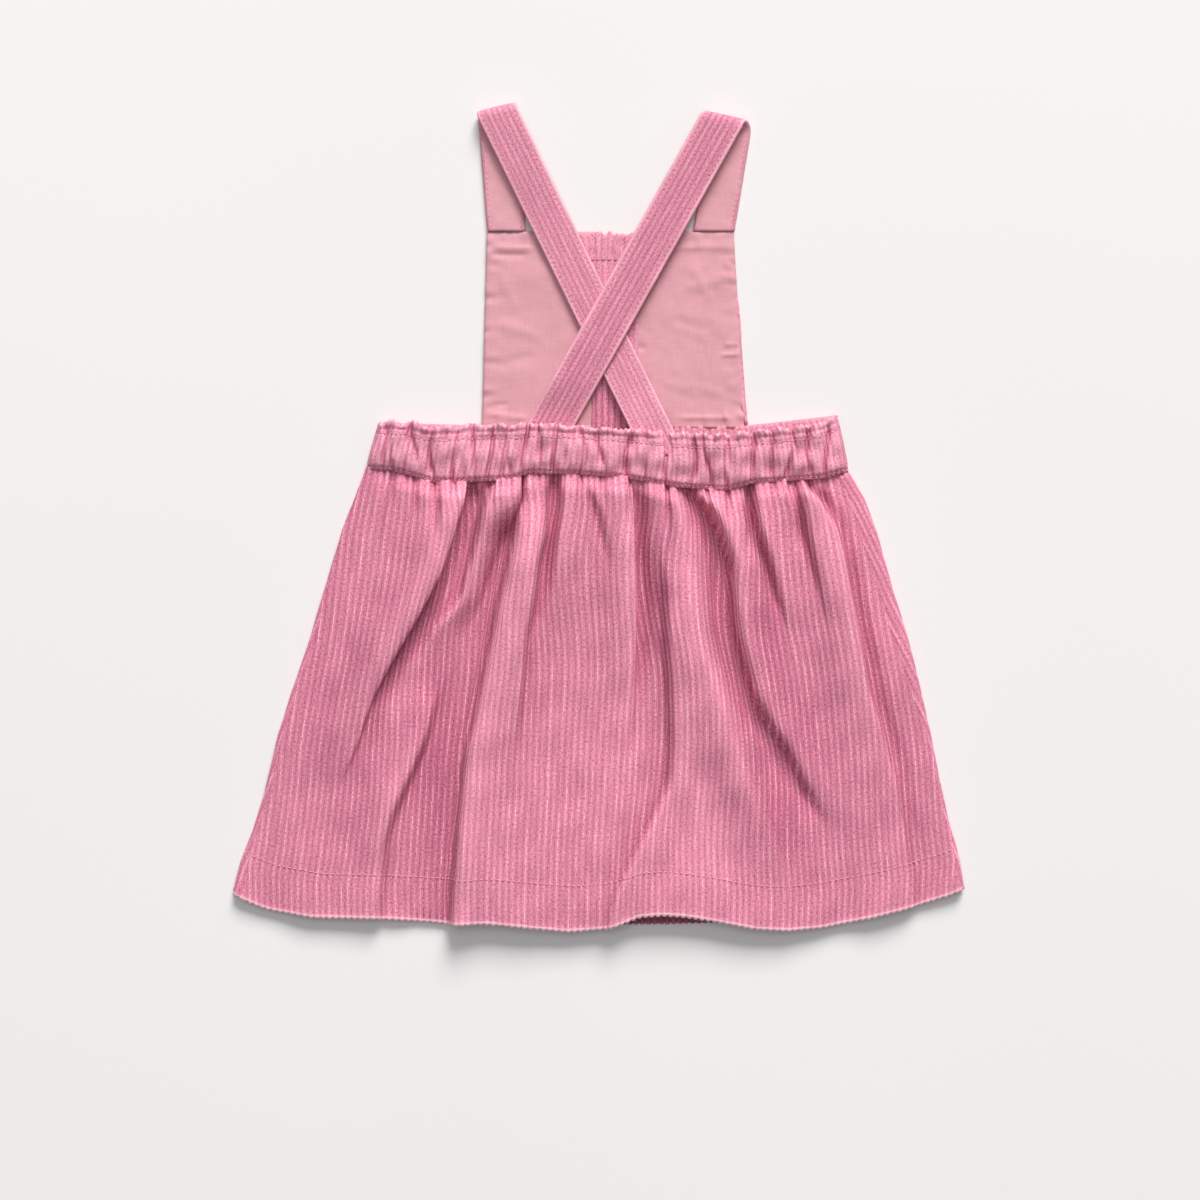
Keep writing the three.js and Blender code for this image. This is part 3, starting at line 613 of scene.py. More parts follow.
def plain_cotton(name, warp, weft):
    """Plain-woven cotton, dyed: matt, with fine crossing threads and a few thicker slubs.  The
    real threads are about 0.25 mm apart, and they are drawn at 0.8 mm so that they show."""
    material, tree = new_material(name)
    cloth = add(tree, "ShaderNodeUVMap", uv_map="cloth")
    place = add(tree, "ShaderNodeTexCoord")
    thread = WALE / 0.8 * math.pi
    size = add(tree, "ShaderNodeVectorMath", {0: cloth.outputs[0], 1: (thread, thread, 0)},
               operation="MULTIPLY")
    parts = add(tree, "ShaderNodeSeparateXYZ", {0: size.outputs[0]})
    across = add(tree, "ShaderNodeMath", {0: parts.outputs[0]}, operation="SINE")
    along = add(tree, "ShaderNodeMath", {0: parts.outputs[1]}, operation="SINE")
    over = add(tree, "ShaderNodeMath", {0: across.outputs[0], 1: along.outputs[0]},
               operation="MULTIPLY")
    slub_along = add(tree, "ShaderNodeMapping", {0: cloth.outputs[0], 3: (4.2, 0.3, 1.0)})
    slub_across = add(tree, "ShaderNodeMapping", {0: cloth.outputs[0], 3: (0.28, 4.2, 1.0)})
    slubs = [add(tree, "ShaderNodeTexNoise", {"Vector": way.outputs[0], "Scale": 1.0, "Detail": 2.0})
             for way in (slub_along, slub_across)]
    both = add(tree, "ShaderNodeMath", {0: slubs[0].outputs[0], 1: slubs[1].outputs[0]},
               operation="ADD")
    wash = add(tree, "ShaderNodeTexNoise", {"Vector": place.outputs["Object"], "Scale": 45.0,
                                            "Detail": 3.0})
    weave = add(tree, "ShaderNodeMapRange", {0: over.outputs[0], 1: -1.0, 2: 1.0, 3: 0.0, 4: 1.0})
    base = add(tree, "ShaderNodeMix", {0: weave.outputs[0], 6: linear(warp), 7: linear(weft)},
               data_type="RGBA")
    value = add(tree, "ShaderNodeMapRange", {0: both.outputs[0], 1: 0.75, 2: 1.25, 3: 0.95, 4: 1.04})
    patch = add(tree, "ShaderNodeMapRange", {0: wash.outputs[0], 1: 0.3, 2: 0.7, 3: 0.97, 4: 1.03})
    shade = add(tree, "ShaderNodeMath", {0: value.outputs[0], 1: patch.outputs[0]},
                operation="MULTIPLY")
    tone = add(tree, "ShaderNodeHueSaturation", {"Value": shade.outputs[0],
                                                 "Color": base.outputs[2]})
    height = add(tree, "ShaderNodeMath", {0: over.outputs[0], 1: both.outputs[0]}, operation="ADD")
    bump = add(tree, "ShaderNodeBump", {"Strength": 0.35, "Distance": 0.00005,
                                        "Height": height.outputs[0]})
    shader = add(tree, "ShaderNodeBsdfPrincipled", {
        "Base Color": tone.outputs[0], "Roughness": 0.9, "IOR": 1.46,
        "Specular IOR Level": 0.15, "Sheen Weight": 0.15, "Sheen Roughness": 0.5,
        "Normal": bump.outputs[0],
    })
    add(tree, "ShaderNodeOutputMaterial", {0: shader.outputs[0]})
    return material


def spun_thread(name, colour):
    """Spun polyester sewing thread, twisted: a soft gloss broken by its plies, 0.4 mm apart."""
    material, tree = new_material(name)
    place = add(tree, "ShaderNodeTexCoord")
    plies = add(tree, "ShaderNodeTexNoise", {"Vector": place.outputs["Object"], "Scale": 2500.0,
                                             "Detail": 1.0})
    value = add(tree, "ShaderNodeMapRange", {0: plies.outputs[0], 1: 0.3, 2: 0.7, 3: 0.88, 4: 1.1})
    tone = add(tree, "ShaderNodeHueSaturation", {"Value": value.outputs[0], "Color": linear(colour)})
    bump = add(tree, "ShaderNodeBump", {"Strength": 0.3, "Distance": 0.0001,
                                        "Height": plies.outputs[0]})
    shader = add(tree, "ShaderNodeBsdfPrincipled", {
        "Base Color": tone.outputs[0], "Roughness": 0.6, "IOR": 1.5, "Specular IOR Level": 0.3,
        "Normal": bump.outputs[0],
    })
    add(tree, "ShaderNodeOutputMaterial", {0: shader.outputs[0]})
    return material


def painted_board(name, colour):
    """A smooth painted board: matt, with a barely mottled white."""
    material, tree = new_material(name)
    place = add(tree, "ShaderNodeTexCoord")
    mottle = add(tree, "ShaderNodeTexNoise", {"Vector": place.outputs["Object"], "Scale": 2.0,
                                              "Detail": 2.0})
    value = add(tree, "ShaderNodeMapRange", {0: mottle.outputs[0], 1: 0.3, 2: 0.7, 3: 0.99, 4: 1.01})
    tone = add(tree, "ShaderNodeHueSaturation", {"Value": value.outputs[0], "Color": linear(colour)})
    shader = add(tree, "ShaderNodeBsdfPrincipled", {
        "Base Color": tone.outputs[0], "Roughness": 0.85, "Specular IOR Level": 0.1})
    add(tree, "ShaderNodeOutputMaterial", {0: shader.outputs[0]})
    return material


# ------------------------------------------------------------------ sizes and colours to change
class PinaforeSizes(bpy.types.PropertyGroup):
    """Sizes of the dress that its maker would change."""
    rib_height: bpy.props.FloatProperty(
        name="Rib height", description="How far a wale of the skirt stands up",
        default=0.42 * MM, min=0.1 * MM, max=1.5 * MM, unit="LENGTH")
    band_rib_height: bpy.props.FloatProperty(
        name="Pressed rib height", description="The same where bands and straps are pressed",
        default=0.32 * MM, min=0.1 * MM, max=1.0 * MM, unit="LENGTH")
    cloth_wall: bpy.props.FloatProperty(
        name="Corduroy thickness", description="Thickness of the corduroy under its pile",
        default=0.9 * MM, min=0.3 * MM, max=1.5 * MM, unit="LENGTH")
    lining_wall: bpy.props.FloatProperty(
        name="Lining thickness", description="Thickness of the cotton lining",
        default=0.45 * MM, min=0.1 * MM, max=1.0 * MM, unit="LENGTH")
    stitch: bpy.props.FloatProperty(
        name="Stitch length", description="Distance from one stitch to the next",
        default=2.7 * MM, min=1.5 * MM, max=6 * MM, unit="LENGTH")


class PinaforeColours(bpy.types.PropertyGroup):
    """Colours of the dress and of the floor."""
    skirt: bpy.props.StringProperty(
        name="Skirt", description="sRGB hex colour of the skirt's ribs", default="#EC8EA9")
    skirt_groove: bpy.props.StringProperty(
        name="Skirt groove", description="sRGB hex colour between the ribs", default="#D57592")
    band: bpy.props.StringProperty(
        name="Bands", description="sRGB hex colour of the ribs of bands and straps",
        default="#EB9BB1")
    band_groove: bpy.props.StringProperty(
        name="Band groove", description="sRGB hex colour between those ribs", default="#DF8FA6")
    # The fold colours below are painted shade, used where the cloth lies low in a fold.
    skirt_fold_shade: bpy.props.StringProperty(
        name="Skirt folds", description="sRGB hex colour of the pile deep in a fold",
        default="#BC4F75")
    band_fold_shade: bpy.props.StringProperty(
        name="Band folds", description="The same in the gathers of the bands", default="#CB6D8C")
    # Painted shade in the grooves of folds, and also the dark gaps between tufts of pile.
    groove_shade_and_tuft_gaps: bpy.props.StringProperty(
        name="Deep grooves", description="sRGB hex colour between ribs deep in a fold",
        default="#96385B")
    # Also the colour of the painted highlight along turned edges.
    bloom: bpy.props.StringProperty(
        name="Rib tops", description="sRGB hex colour of the worn tops of the ribs",
        default="#FBCBD5")
    lining: bpy.props.StringProperty(
        name="Lining", description="sRGB hex colour of the cotton lining", default="#DBA1AA")
    lining_weft: bpy.props.StringProperty(
        name="Lining weft", description="sRGB hex colour of its crossing threads",
        default="#D69BA4")
    thread: bpy.props.StringProperty(
        name="Thread", description="sRGB hex colour of the sewing thread", default="#E8ACBD")
    floor: bpy.props.StringProperty(
        name="Floor", description="sRGB hex colour of the floor", default="#E9E8E7")


def sizes():
    """The sizes in use."""
    return bpy.context.scene.pinafore_sizes


def finish(name):
    """The material of that name, made when it is first asked for."""
    if name in bpy.data.materials:
        return bpy.data.materials[name]
    colours = bpy.context.scene.pinafore_colours
    makers = {
        "brushed_corduroy": lambda: corduroy(name, colours.skirt, colours.skirt_groove,
                                             colours.bloom, colours.skirt_fold_shade,
                                             colours.groove_shade_and_tuft_gaps),
        "pressed_corduroy": lambda: corduroy(name, colours.band, colours.band_groove,
                                             colours.bloom, colours.band_fold_shade,
                                             colours.groove_shade_and_tuft_gaps, pile=0.8, lines=(0.05, 0.4)),
        "plain_cotton": lambda: plain_cotton(name, colours.lining, colours.lining_weft),
        "spun_thread": lambda: spun_thread(name, colours.thread),
        "painted_board": lambda: painted_board(name, colours.floor),
    }
    return makers[name]()


def place_piece(piece, slot, *nodes):
    """Gives a finished piece its body and hides the CAD nodes that it stands for.  slot is not used."""
    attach(piece, "root")
    if nodes:
        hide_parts(*nodes)


# ------------------------------------------------------------------ the skirt
BACK_TOP = rim("skirt_back", (0, 1, 0))
BACK_HEM = rim("skirt_back", (0, -1, 0))
BACK_LEFT = rim("skirt_back", (-1, 0, 0))
BACK_RIGHT = rim("skirt_back", (1, 0, 0))
FRONT_TOP = rim("skirt_front", (0, 1, 0))
FRONT_HEM = rim("skirt_front", (0, -1, 0))
PANEL_LENGTH = float(BACK_LEFT[-1, 1] - BACK_LEFT[0, 1])
FRONT_LOW = 1.0            # the front panel's outside without its pile, above the floor
SEAM_HIGH = FRONT_LOW + 2 * EDGE_RADIUS


def sides(down):
    """X of the left and right silhouette at a share of the way from waist to hem."""
    return even_read(BACK_LEFT, 0, 1 - down), even_read(BACK_RIGHT, 0, 1 - down)


def insets(down):
    """How far the left and right side seams lie inside the silhouette there."""
    y = -mix(BACK_LEFT[-1, 1], BACK_LEFT[0, 1], down)
    rows = -column(SEAM_INSETS, 0)
    return (np.interp(y, rows, column(SEAM_INSETS, 1)),
            np.interp(y, rows, column(SEAM_INSETS, 2)))


def wrap_angle(inset):
    """How far round its rolled edge the front panel comes before it meets a side seam."""
    reach = 1 - (inset + SEAM_LAP - EDGE_PILE) / EDGE_RADIUS
    return math.acos(min(max(reach, 0.0), 1.0))


def seam_height(inset):
    """Height of a side seam that lies that far inside the silhouette."""
    return FRONT_LOW + EDGE_RADIUS * (1 + math.sin(wrap_angle(inset)))


def down_share(x, y):
    """The share of the way from waist to hem at a place on the back panel."""
    down = np.clip((BACK_LEFT[-1, 1] - y) / PANEL_LENGTH, 0, 1)
    for _ in range(4):
        left, right = sides(down)
        across = (x - left) / (right - left)
        top = even_read(BACK_TOP, 1, across)
        down = np.clip((top - y) / (top - even_read(BACK_HEM, 1, across)), 0, 1)
    return down


def smooth_along(values, reach):
    """Rounds off the corners of values that are evenly spaced."""
    window = np.hanning(2 * reach + 3)[1:-1]
    padded = np.pad(values, reach, mode="edge")
    return np.convolve(padded, window / window.sum(), mode="valid")


BACK_HEIGHTS = ((0, 0.03, 0.12, 0.4, 1), (7.4, 8.6, 8.0, 6.4, 4.8))    # share of the way down, height
BACK_UNDER = 1.3           # the panel's top goes this far up under the casing
BACK_UNEVEN = 0.32         # height of its unevenness between the folds
FOLD_START = 0.25          # share of a fold's height at the waist seam
PINCH_DEPTH = 3.0          # depth of a full gather at the waist
PINCH_WIDTH = (1.3, 14)    # its width there, and how much wider it gets further down
PINCH_FADE = (0.06, 0.09)  # share of the panel where it fades out, and how much more if it's strong
SIDE_ZONE = 13             # width beside a side seam where the cloth comes down to it
LEAN_ZONE = 8              # width beside a side seam where no lip hangs over
TUCK_WIDTH = 1.1           # half width of a side seam's dip
FLOOR_SOFT = 0.45          # how softly the cloth levels out above the floor
FOLD_ROUND = 5             # places of 241 down a fold over which its line's corners are rounded


def fold_lines(levels):
    """Each fold's place and strength at every level."""
    even = np.linspace(0, 1, 241)
    lines = []
    for fold in FOLDS:
        x, y, strength = (column(fold["line"], place) for place in range(3))
        down = np.maximum.accumulate(down_share(x, y))
        lines.append([np.interp(levels, even,
                                smooth_along(np.interp(even, down, values), FOLD_ROUND))
                      for values in (x, strength)])
    return lines


def back_panel_rows(levels):
    """Rows of points over the gathered back panel."""
    lines = fold_lines(levels)
    uneven = drift(11, 18, 70)
    across = np.linspace(0, 1, SAMPLES)
    rows = []
    for level, down in enumerate(levels):
        left, right = sides(down)
        inset_left, inset_right = insets(down)
        x = mix(left + inset_left - SEAM_LAP, right - inset_right + SEAM_LAP, across)
        plan = (x - left) / (right - left)
        y = mix(even_read(BACK_TOP, 1, plan), even_read(BACK_HEM, 1, plan), down)
        y = y + BACK_UNDER * bell(down * PANEL_LENGTH, 2.0)
        height = np.interp(down, *BACK_HEIGHTS) + BACK_UNEVEN * uneven(x, y)
        shift = np.zeros_like(x)
        rise = mix(FOLD_START, 1.0, ease(down * PANEL_LENGTH / SEAM_RISE))
        for fold, (centres, strengths) in zip(FOLDS, lines):
            beside = x - centres[level]
            strength = FOLD_GAIN * strengths[level] * rise
            edge = fold["edge"] * FOLD_CRISP
            step = ease((beside / edge + 1) / 2)
            low = fold["left"][0] * bell(np.minimum(beside, 0), fold["left"][1])
            high = fold["right"][0] * bell(np.maximum(beside, 0), fold["right"][1])
            depth, width, offset = fold["gap"]
            height += strength * (mix(low, high, step) - depth * bell(beside - offset, width))
            side = 1 if fold["left"][0] >= fold["right"][0] else -1
            reach = 3 * edge + 1.5
            shift += strengths[level] * fold["lean"] * side * (1 - 2 * step) * bell(beside, reach)
        for place, pinch in GATHERS:
            fade = ease(1 - down / (PINCH_FADE[0] + PINCH_FADE[1] * min(pinch, 1.2)))
            width = PINCH_WIDTH[0] + PINCH_WIDTH[1] * down
            height -= PINCH_DEPTH * pinch * fade * bell(x - place, width)
        for place, lift, half, begin in HEM_WAVES:
            near = ease(1 - np.abs(x - place) / half)
            height += lift * near * ease((down - begin) / (1 - begin))
        to_left, to_right = x - x[0], x[-1] - x
        from_side = np.minimum(to_left, to_right)
        seam = np.where(to_left < to_right, seam_height(inset_left), seam_height(inset_right))
        height = mix(seam, height, ease(from_side / SIDE_ZONE) ** 0.8)
        height = FLOOR_CLEAR + FLOOR_SOFT * np.logaddexp(0, (height - FLOOR_CLEAR) / FLOOR_SOFT)
        height = np.maximum(height - SEAM_TUCK * bell(from_side, TUCK_WIDTH), FRONT_LOW + 1)
        shift *= ease(from_side / LEAN_ZONE)
        rows.append(np.stack([x + shift, y, height], axis=1))
    return rows


def front_panel_rows(levels):
    """Rows of points under the dress and round its sides, from the right seam to the left one."""
    rows = []
    for down in levels:
        left, right = sides(down)
        path = []
        for edge, inset, way in ((right, insets(down)[1], 1), (left, insets(down)[0], -1)):
            turn = np.linspace(wrap_angle(inset), -math.pi / 2, 60)
            start = EDGE_PILE + EDGE_RADIUS
            arc = np.stack([edge - way * (start - EDGE_RADIUS * np.cos(turn)),
                            FRONT_LOW + EDGE_RADIUS * (1 + np.sin(turn))], axis=1)
            if inset + SEAM_LAP > start + 0.1:
                flat = np.stack([np.linspace(edge - way * (inset + SEAM_LAP), edge - way * start, 20),
                                 np.full(20, SEAM_HIGH)], axis=1)
                arc = np.concatenate([flat[:-1], arc])
            dip = SEAM_TUCK * bell(arc[:, 0] - arc[0, 0], TUCK_WIDTH)
            arc[:, 1] -= dip * (arc[:, 1] > SEAM_HIGH / 2)
            path.append(arc[::way])
        ground = np.linspace(path[0][-1], path[1][0], 1000)[1:-1]
        section = np.concatenate([path[0], ground, path[1]])
        x, z = evenly(section, SAMPLES)
        plan = (x - left) / (right - left)
        over = ease((z - FRONT_LOW) / EDGE_RADIUS / 2)
        top = mix(even_read(FRONT_TOP, 1, plan), even_read(BACK_TOP, 1, plan), over)
        hem = mix(even_read(FRONT_HEM, 1, plan), even_read(BACK_HEM, 1, plan), over)
        rows.append(np.stack([x, mix(top, hem, down), z], axis=1))
    return rows


HEM_TURNS = 8              # rows round the bend of a hem
HEM_HIGHLIGHT_AND_PALE_ROWS = 4               # how many of them are painted pale: a painted highlight and pile pale from rubbing


def with_hem(levels, rows, reach, with_painted_light):
    """A form of panel rows with the hem turned up inside them.  Its edge is painted pale, a painted
    highlight with pale pile, all along if with_painted_light is set and otherwise only where it comes
    round the sides; inside the hem it gets painted shade."""
    lengths = list(np.asarray(levels) * PANEL_LENGTH)
    made = list(rows)
    inside = []
    for row in rows:
        tangent = np.gradient(row[:, [0, 2]], axis=0)
        tangent /= np.maximum(np.linalg.norm(tangent, axis=1, keepdims=True), 1e-9)
        inside.append(np.stack([tangent[:, 1], np.zeros(len(row)), -tangent[:, 0]], axis=1))
    for turn in np.linspace(0, math.pi, HEM_TURNS)[1:]:
        lengths.append(PANEL_LENGTH + HEM_BEND * turn)
        made.append(rows[-1] + inside[-1] * HEM_BEND * (1 - math.cos(turn))
                    + np.array([0, -HEM_BEND * math.sin(turn), 0]))
    for level in range(len(levels) - 2, 0, -1):
        back = PANEL_LENGTH * (1 - levels[level])
        if back > HEM_DEPTH + 1:
            break
        lengths.append(PANEL_LENGTH + HEM_BEND * math.pi + back)
        made.append(rows[level] + inside[level] * 2 * HEM_BEND)
    form = Form(lengths, made, calm=CALM_ROWS, reach=reach)
    # Patches of painted shade and painted light.
    if with_painted_light:
        x, y, _, wear_and_painted_light = np.moveaxis(form.points, 2, 0)
        for place_x, place_y, half_width, half_length, depth in PAINTED_SHADE_PATCHES:
            wear_and_painted_light -= depth * bell(x - place_x, half_width) * bell(y - place_y, half_length)
        np.clip(wear_and_painted_light, 0, 1, out=wear_and_painted_light)
    # Painted highlight along the hem's edge, all along on the back panel and only round the sides on
    # the front one; elsewhere painted shade.
    outside = with_painted_light | (rows[-1][:, 2] > FRONT_LOW + EDGE_RADIUS)
    bend = len(rows) + HEM_HIGHLIGHT_AND_PALE_ROWS
    form.points[len(rows) - 1:bend, :, 3] = np.where(outside, PALE_EDGE_AND_HIGHLIGHT, HEM_SHADE_MARK)
    # Painted shade inside the hem.
    form.points[bend:, :, 3] = HEM_SHADE_MARK
    return form


def panel_width(length):
    """Flat width of a skirt panel at a length below the waist."""
    return WAIST_CUT + (HEM_CUT - WAIST_CUT) * length / PANEL_LENGTH


def row_places(waist, middle, hem, inside, whole):
    """Spaces a panel's rows: closest near its waist seam and round the bend of its hem.  Each of the
    first four is a number of rows, and the result maps an even 0..1 to a share of the length."""
    ends = np.cumsum([0, waist, middle, hem, inside])
    bend = PANEL_LENGTH + HEM_BEND * math.pi
    lengths = [0, WAIST_ZONE, PANEL_LENGTH - 2.5, bend + 1.0, whole]
    return lambda down: float(np.interp(down, ends / ends[-1], lengths)) / whole


PANEL_LEVELS = 141         # rows of a panel's form, a little closer towards the waist
FOLD_SHADE_REACH = 26.0          # the painted shade of the gathered panel compares heights over this far around
HEM_STITCH_LIFT = 0.45     # height of the hem's stitches above the cloth


class PINAFORE_OT_skirt(bpy.types.Operator):
    """Lays the two panels of the skirt and sews their hems"""
    bl_idname = "pinafore.skirt"
    bl_label = "Skirt panels"

    def execute(self, context):
        levels = np.linspace(0, 1, PANEL_LEVELS) ** 1.12
        # An extra row sets the width of the painted highlight at the hem's edge.
        levels = np.insert(levels, -1, 1 - PALE_EDGE_AND_HIGHLIGHT_WIDTH / PANEL_LENGTH)
        whole = PANEL_LENGTH + HEM_BEND * math.pi + HEM_DEPTH
        relief = ribs(sizes().rib_height / MM, seams=(PANEL_LENGTH - HEM_DEPTH,),
                      bends=(PANEL_LENGTH + 1.0,))
        stitches = []
        for side, form, counts in (
                ("back", with_hem(levels, back_panel_rows(levels), FOLD_SHADE_REACH, True), BACK_ROWS),
                ("front", with_hem(levels, front_panel_rows(levels), 0.0, False), FRONT_ROWS)):
            cloth = cut_cloth(
                PANEL_WALES * RIB_COLUMNS, sum(counts), PANEL_WALES * WALE, whole,
                spacing=row_places(*counts, whole),
                sides=(WAIST_CUT / 2, panel_width(whole) / 2))
            panel = lay_cloth(f"skirt_{side}_panel", cloth, form, panel_width, relief,
                              finish("brushed_corduroy"), sizes().cloth_wall / MM)
            place_piece(panel, "corduroy", f"skirt_{side}")
            points, normals = seam_along(form, np.linspace(0.004, 0.996, 600),
                                         PANEL_LENGTH - HEM_DEPTH, HEM_STITCH_LIFT)
            stitches.append((points, normals, sizes().stitch / MM, 0.72))
        thread = sew("hem_stitches", stitches, finish("spun_thread"))
        place_piece(thread, "corduroy")
        return {"FINISHED"}


# ------------------------------------------------------------------ the waistband
CASING_TOP = rim("waistband_back", (0, 1, 0))
CASING_BOTTOM = rim("waistband_back", (0, -1, 0))
BAND_TOP = rim("waistband_front", (0, 1, 0))
BAND_BOTTOM = rim("waistband_front", (0, -1, 0))
CASING_END = 5.6           # height of the casing's outside near its ends
CASING_HIGH = 8.9          # the same where it rides over the straps
CASING_PUFF = 5.6          # how far the gathers stand above that
CASING_FOLD = 1.1          # radius of the fold along its top
FRILL = 3.6                # the elastic's upper seam lies this far below the top
FRILL_SHARE = 0.78         # the frill above it starts at this share of the casing's height
CASING_SINK = 1.6          # the tightest pinches lie this far below the casing's height
CASING_SEAM = 3.9          # height of the casing where it ends at a side seam
CASING_TURN = 6.5          # width over which it comes down to that
CASING_INNER = 2.2         # its inner layer lies this far below the casing's height
# How much of the puff there is at a share of the casing's height.
CASING_CROWN = ((0, 0.025, 0.05, 0.09, 0.22, 0.8, 1), (0.5, 0.66, 0.5, 0.82, 0.97, 0.98, 0.9))
CASING_WALL = 0.8          # thickness of its cloth under the pile
CASING_HIGHLIGHT_AND_PALE_TOP = 0.3          # how much paler the pile is painted along its top fold: a painted highlight and pile pale from rubbing
BAND_WALES = 77            # wales across the front waistband
BAND_HIGH = 2.45           # height of its upper layer, which is its wrong side
BAND_LOW = 0.75            # the same for the lower one
BAND_WALL = 0.6


def gathered(x, up):
    """Height of the gathers across the casing at a share of its height, 0 in the tightest pinch and
    1 on a full puff.  The pinches wander and are not as deep all the way up."""
    places = column(GATHERS, 0)
    order = np.arange(len(places))
    places = places + 1.5 * np.sin(order * 2.4 + 3.1 * up) + 0.9 * np.sin(order * 5.1 - 5.3 * up)
    pinches = column(GATHERS, 1) * (0.8 + 0.5 * np.sin(order * 1.7 + 4.0 * up))
    drop = np.zeros_like(x)
    for place, pinch in zip(places, pinches):
        drop = drop + 0.85 * pinch * bell(x - place, 0.9) + 0.42 * pinch * bell(x - place, 3.2)
    return np.exp(-1.15 * drop ** 1.3)


def casing_form():
    """The casing of one cloth: up the inside, over the fold at its top and down the outside."""
    across = np.linspace(0, 1, SAMPLES)
    bottom = np.stack([even_read(CASING_BOTTOM, 0, across), even_read(CASING_BOTTOM, 1, across)], 1)
    top = np.stack([even_read(CASING_TOP, 0, across), even_read(CASING_TOP, 1, across)], 1)
    from_end = np.minimum(across, 1 - across) * (bottom[-1, 0] - bottom[0, 0])
    base = mix(CASING_END, CASING_HIGH, ease(from_end / 14))
    tall = top[:, 1] - bottom[:, 1]
    jag = drift(5, 5, 16)(across * 240, 0)
    dents = drift(8, 14, 40)
    lumps = drift(9, 4, 10)

    def outside(up):
        plan = mix(bottom, top, up)
        below_top = (1 - up) * tall
        crown = np.interp(up, *CASING_CROWN) - 0.12 * bell(below_top - FRILL, 1.0)
        height = base - CASING_SINK + CASING_PUFF * gathered(plan[:, 0], up) * crown
        # Soft dents and small lumps, a dip along both seams, and puckers between the lower stitches.
        height = height + 0.6 * dents(plan[:, 0], plan[:, 1] * 2) * ease(up * 4) * ease(4 - 4 * up)
        height = height + 0.5 * lumps(plan[:, 0], plan[:, 1]) * crown
        height = height - 0.35 * bell(below_top - FRILL, 0.8) - 0.5 * bell(up * tall, 1.4)
        height = height + 0.45 * np.sin(plan[:, 0] * math.tau / 2.9) * bell(up * tall - 1.0, 1.2)
        # The ends come down in a quarter round.
        end = np.clip(1 - from_end / CASING_TURN, 0, 1)
        height = mix(height, CASING_SEAM, 1 - np.sqrt(1 - end ** 2))
        # The frill's edge wanders, with a small tooth to each rib.
        frilled = ease((up - FRILL_SHARE) * 4.5)
        edge = frilled * (0.75 * jag + 0.4 * np.sin(across * math.tau * 97))
        height = height + frilled * 0.8 * lumps(plan[:, 0] * 1.7, 3.0)
        return np.stack([plan[:, 0], plan[:, 1] + edge, height], axis=1)

    crest = outside(1.0)
    rows, lengths, length = [], [], 0.0
    inner = np.linspace(0.12, 0.94, 10)
    fold = np.linspace(0, math.pi, 9)
    for up in inner:
        row = outside(up)
        row[:, 2] = mix(row[:, 2], base, 0.65) - CASING_INNER
        rows.append(row)
    for turn in fold:
        row = crest.copy()
        row[:, 1] += CASING_FOLD * (math.sin(turn) - 1)
        row[:, 2] -= CASING_FOLD * (1 + math.cos(turn))
        rows.append(row)
    for up in np.linspace(0.95, 0.0, 34):
        rows.append(outside(up))
    for row, above in zip(rows, [rows[0], *rows[:-1]]):
        length += float(np.linalg.norm((row - above).mean(axis=0)[1:]))
        lengths.append(length)
    # Painted shade in the pinches of the gathers, painted light on the puffs.
    form = Form(lengths + 1e-4 * np.arange(len(lengths)), rows, calm=CALM_ROWS, reach=5.0, shade_range=3.6,
                wear=0.7)
    # A painted highlight along the top fold, with pale pile.
    crest_row = len(inner) + len(fold) // 2
    form.points[crest_row:crest_row + 6, :, 3] += CASING_HIGHLIGHT_AND_PALE_TOP
    return form


def band_form():
    """The front waistband of one cloth: up the inside, over its top edge and down the outside,
    which faces the floor.  Its rows run from right to left."""
    across = np.linspace(1, 0, 601)
    radius = (BAND_HIGH - BAND_LOW) / 2

    def at(up, height, past=0.0):
        bottom = [even_read(BAND_BOTTOM, axis, across) for axis in (0, 1)]
        top = [even_read(BAND_TOP, axis, across) for axis in (0, 1)]
        x = mix(bottom[0], top[0], up)
        y = mix(bottom[1], top[1] - radius, up) + past
        return np.stack([x, y, np.full(len(x), height)], axis=1)

    rows = [at(up, BAND_HIGH) for up in np.linspace(0.05, 1, 8)]
    middle = (BAND_HIGH + BAND_LOW) / 2
    for turn in np.linspace(0, math.pi, 8)[1:-1]:
        rows.append(at(1, middle + radius * math.cos(turn), radius * math.sin(turn)))
    rows += [at(up, BAND_LOW) for up in np.linspace(1, 0, 8)]
    steps = [0.0] + [float(np.linalg.norm((b - a).mean(axis=0)[1:])) for a, b in zip(rows, rows[1:])]
    return Form(np.cumsum(steps), rows)


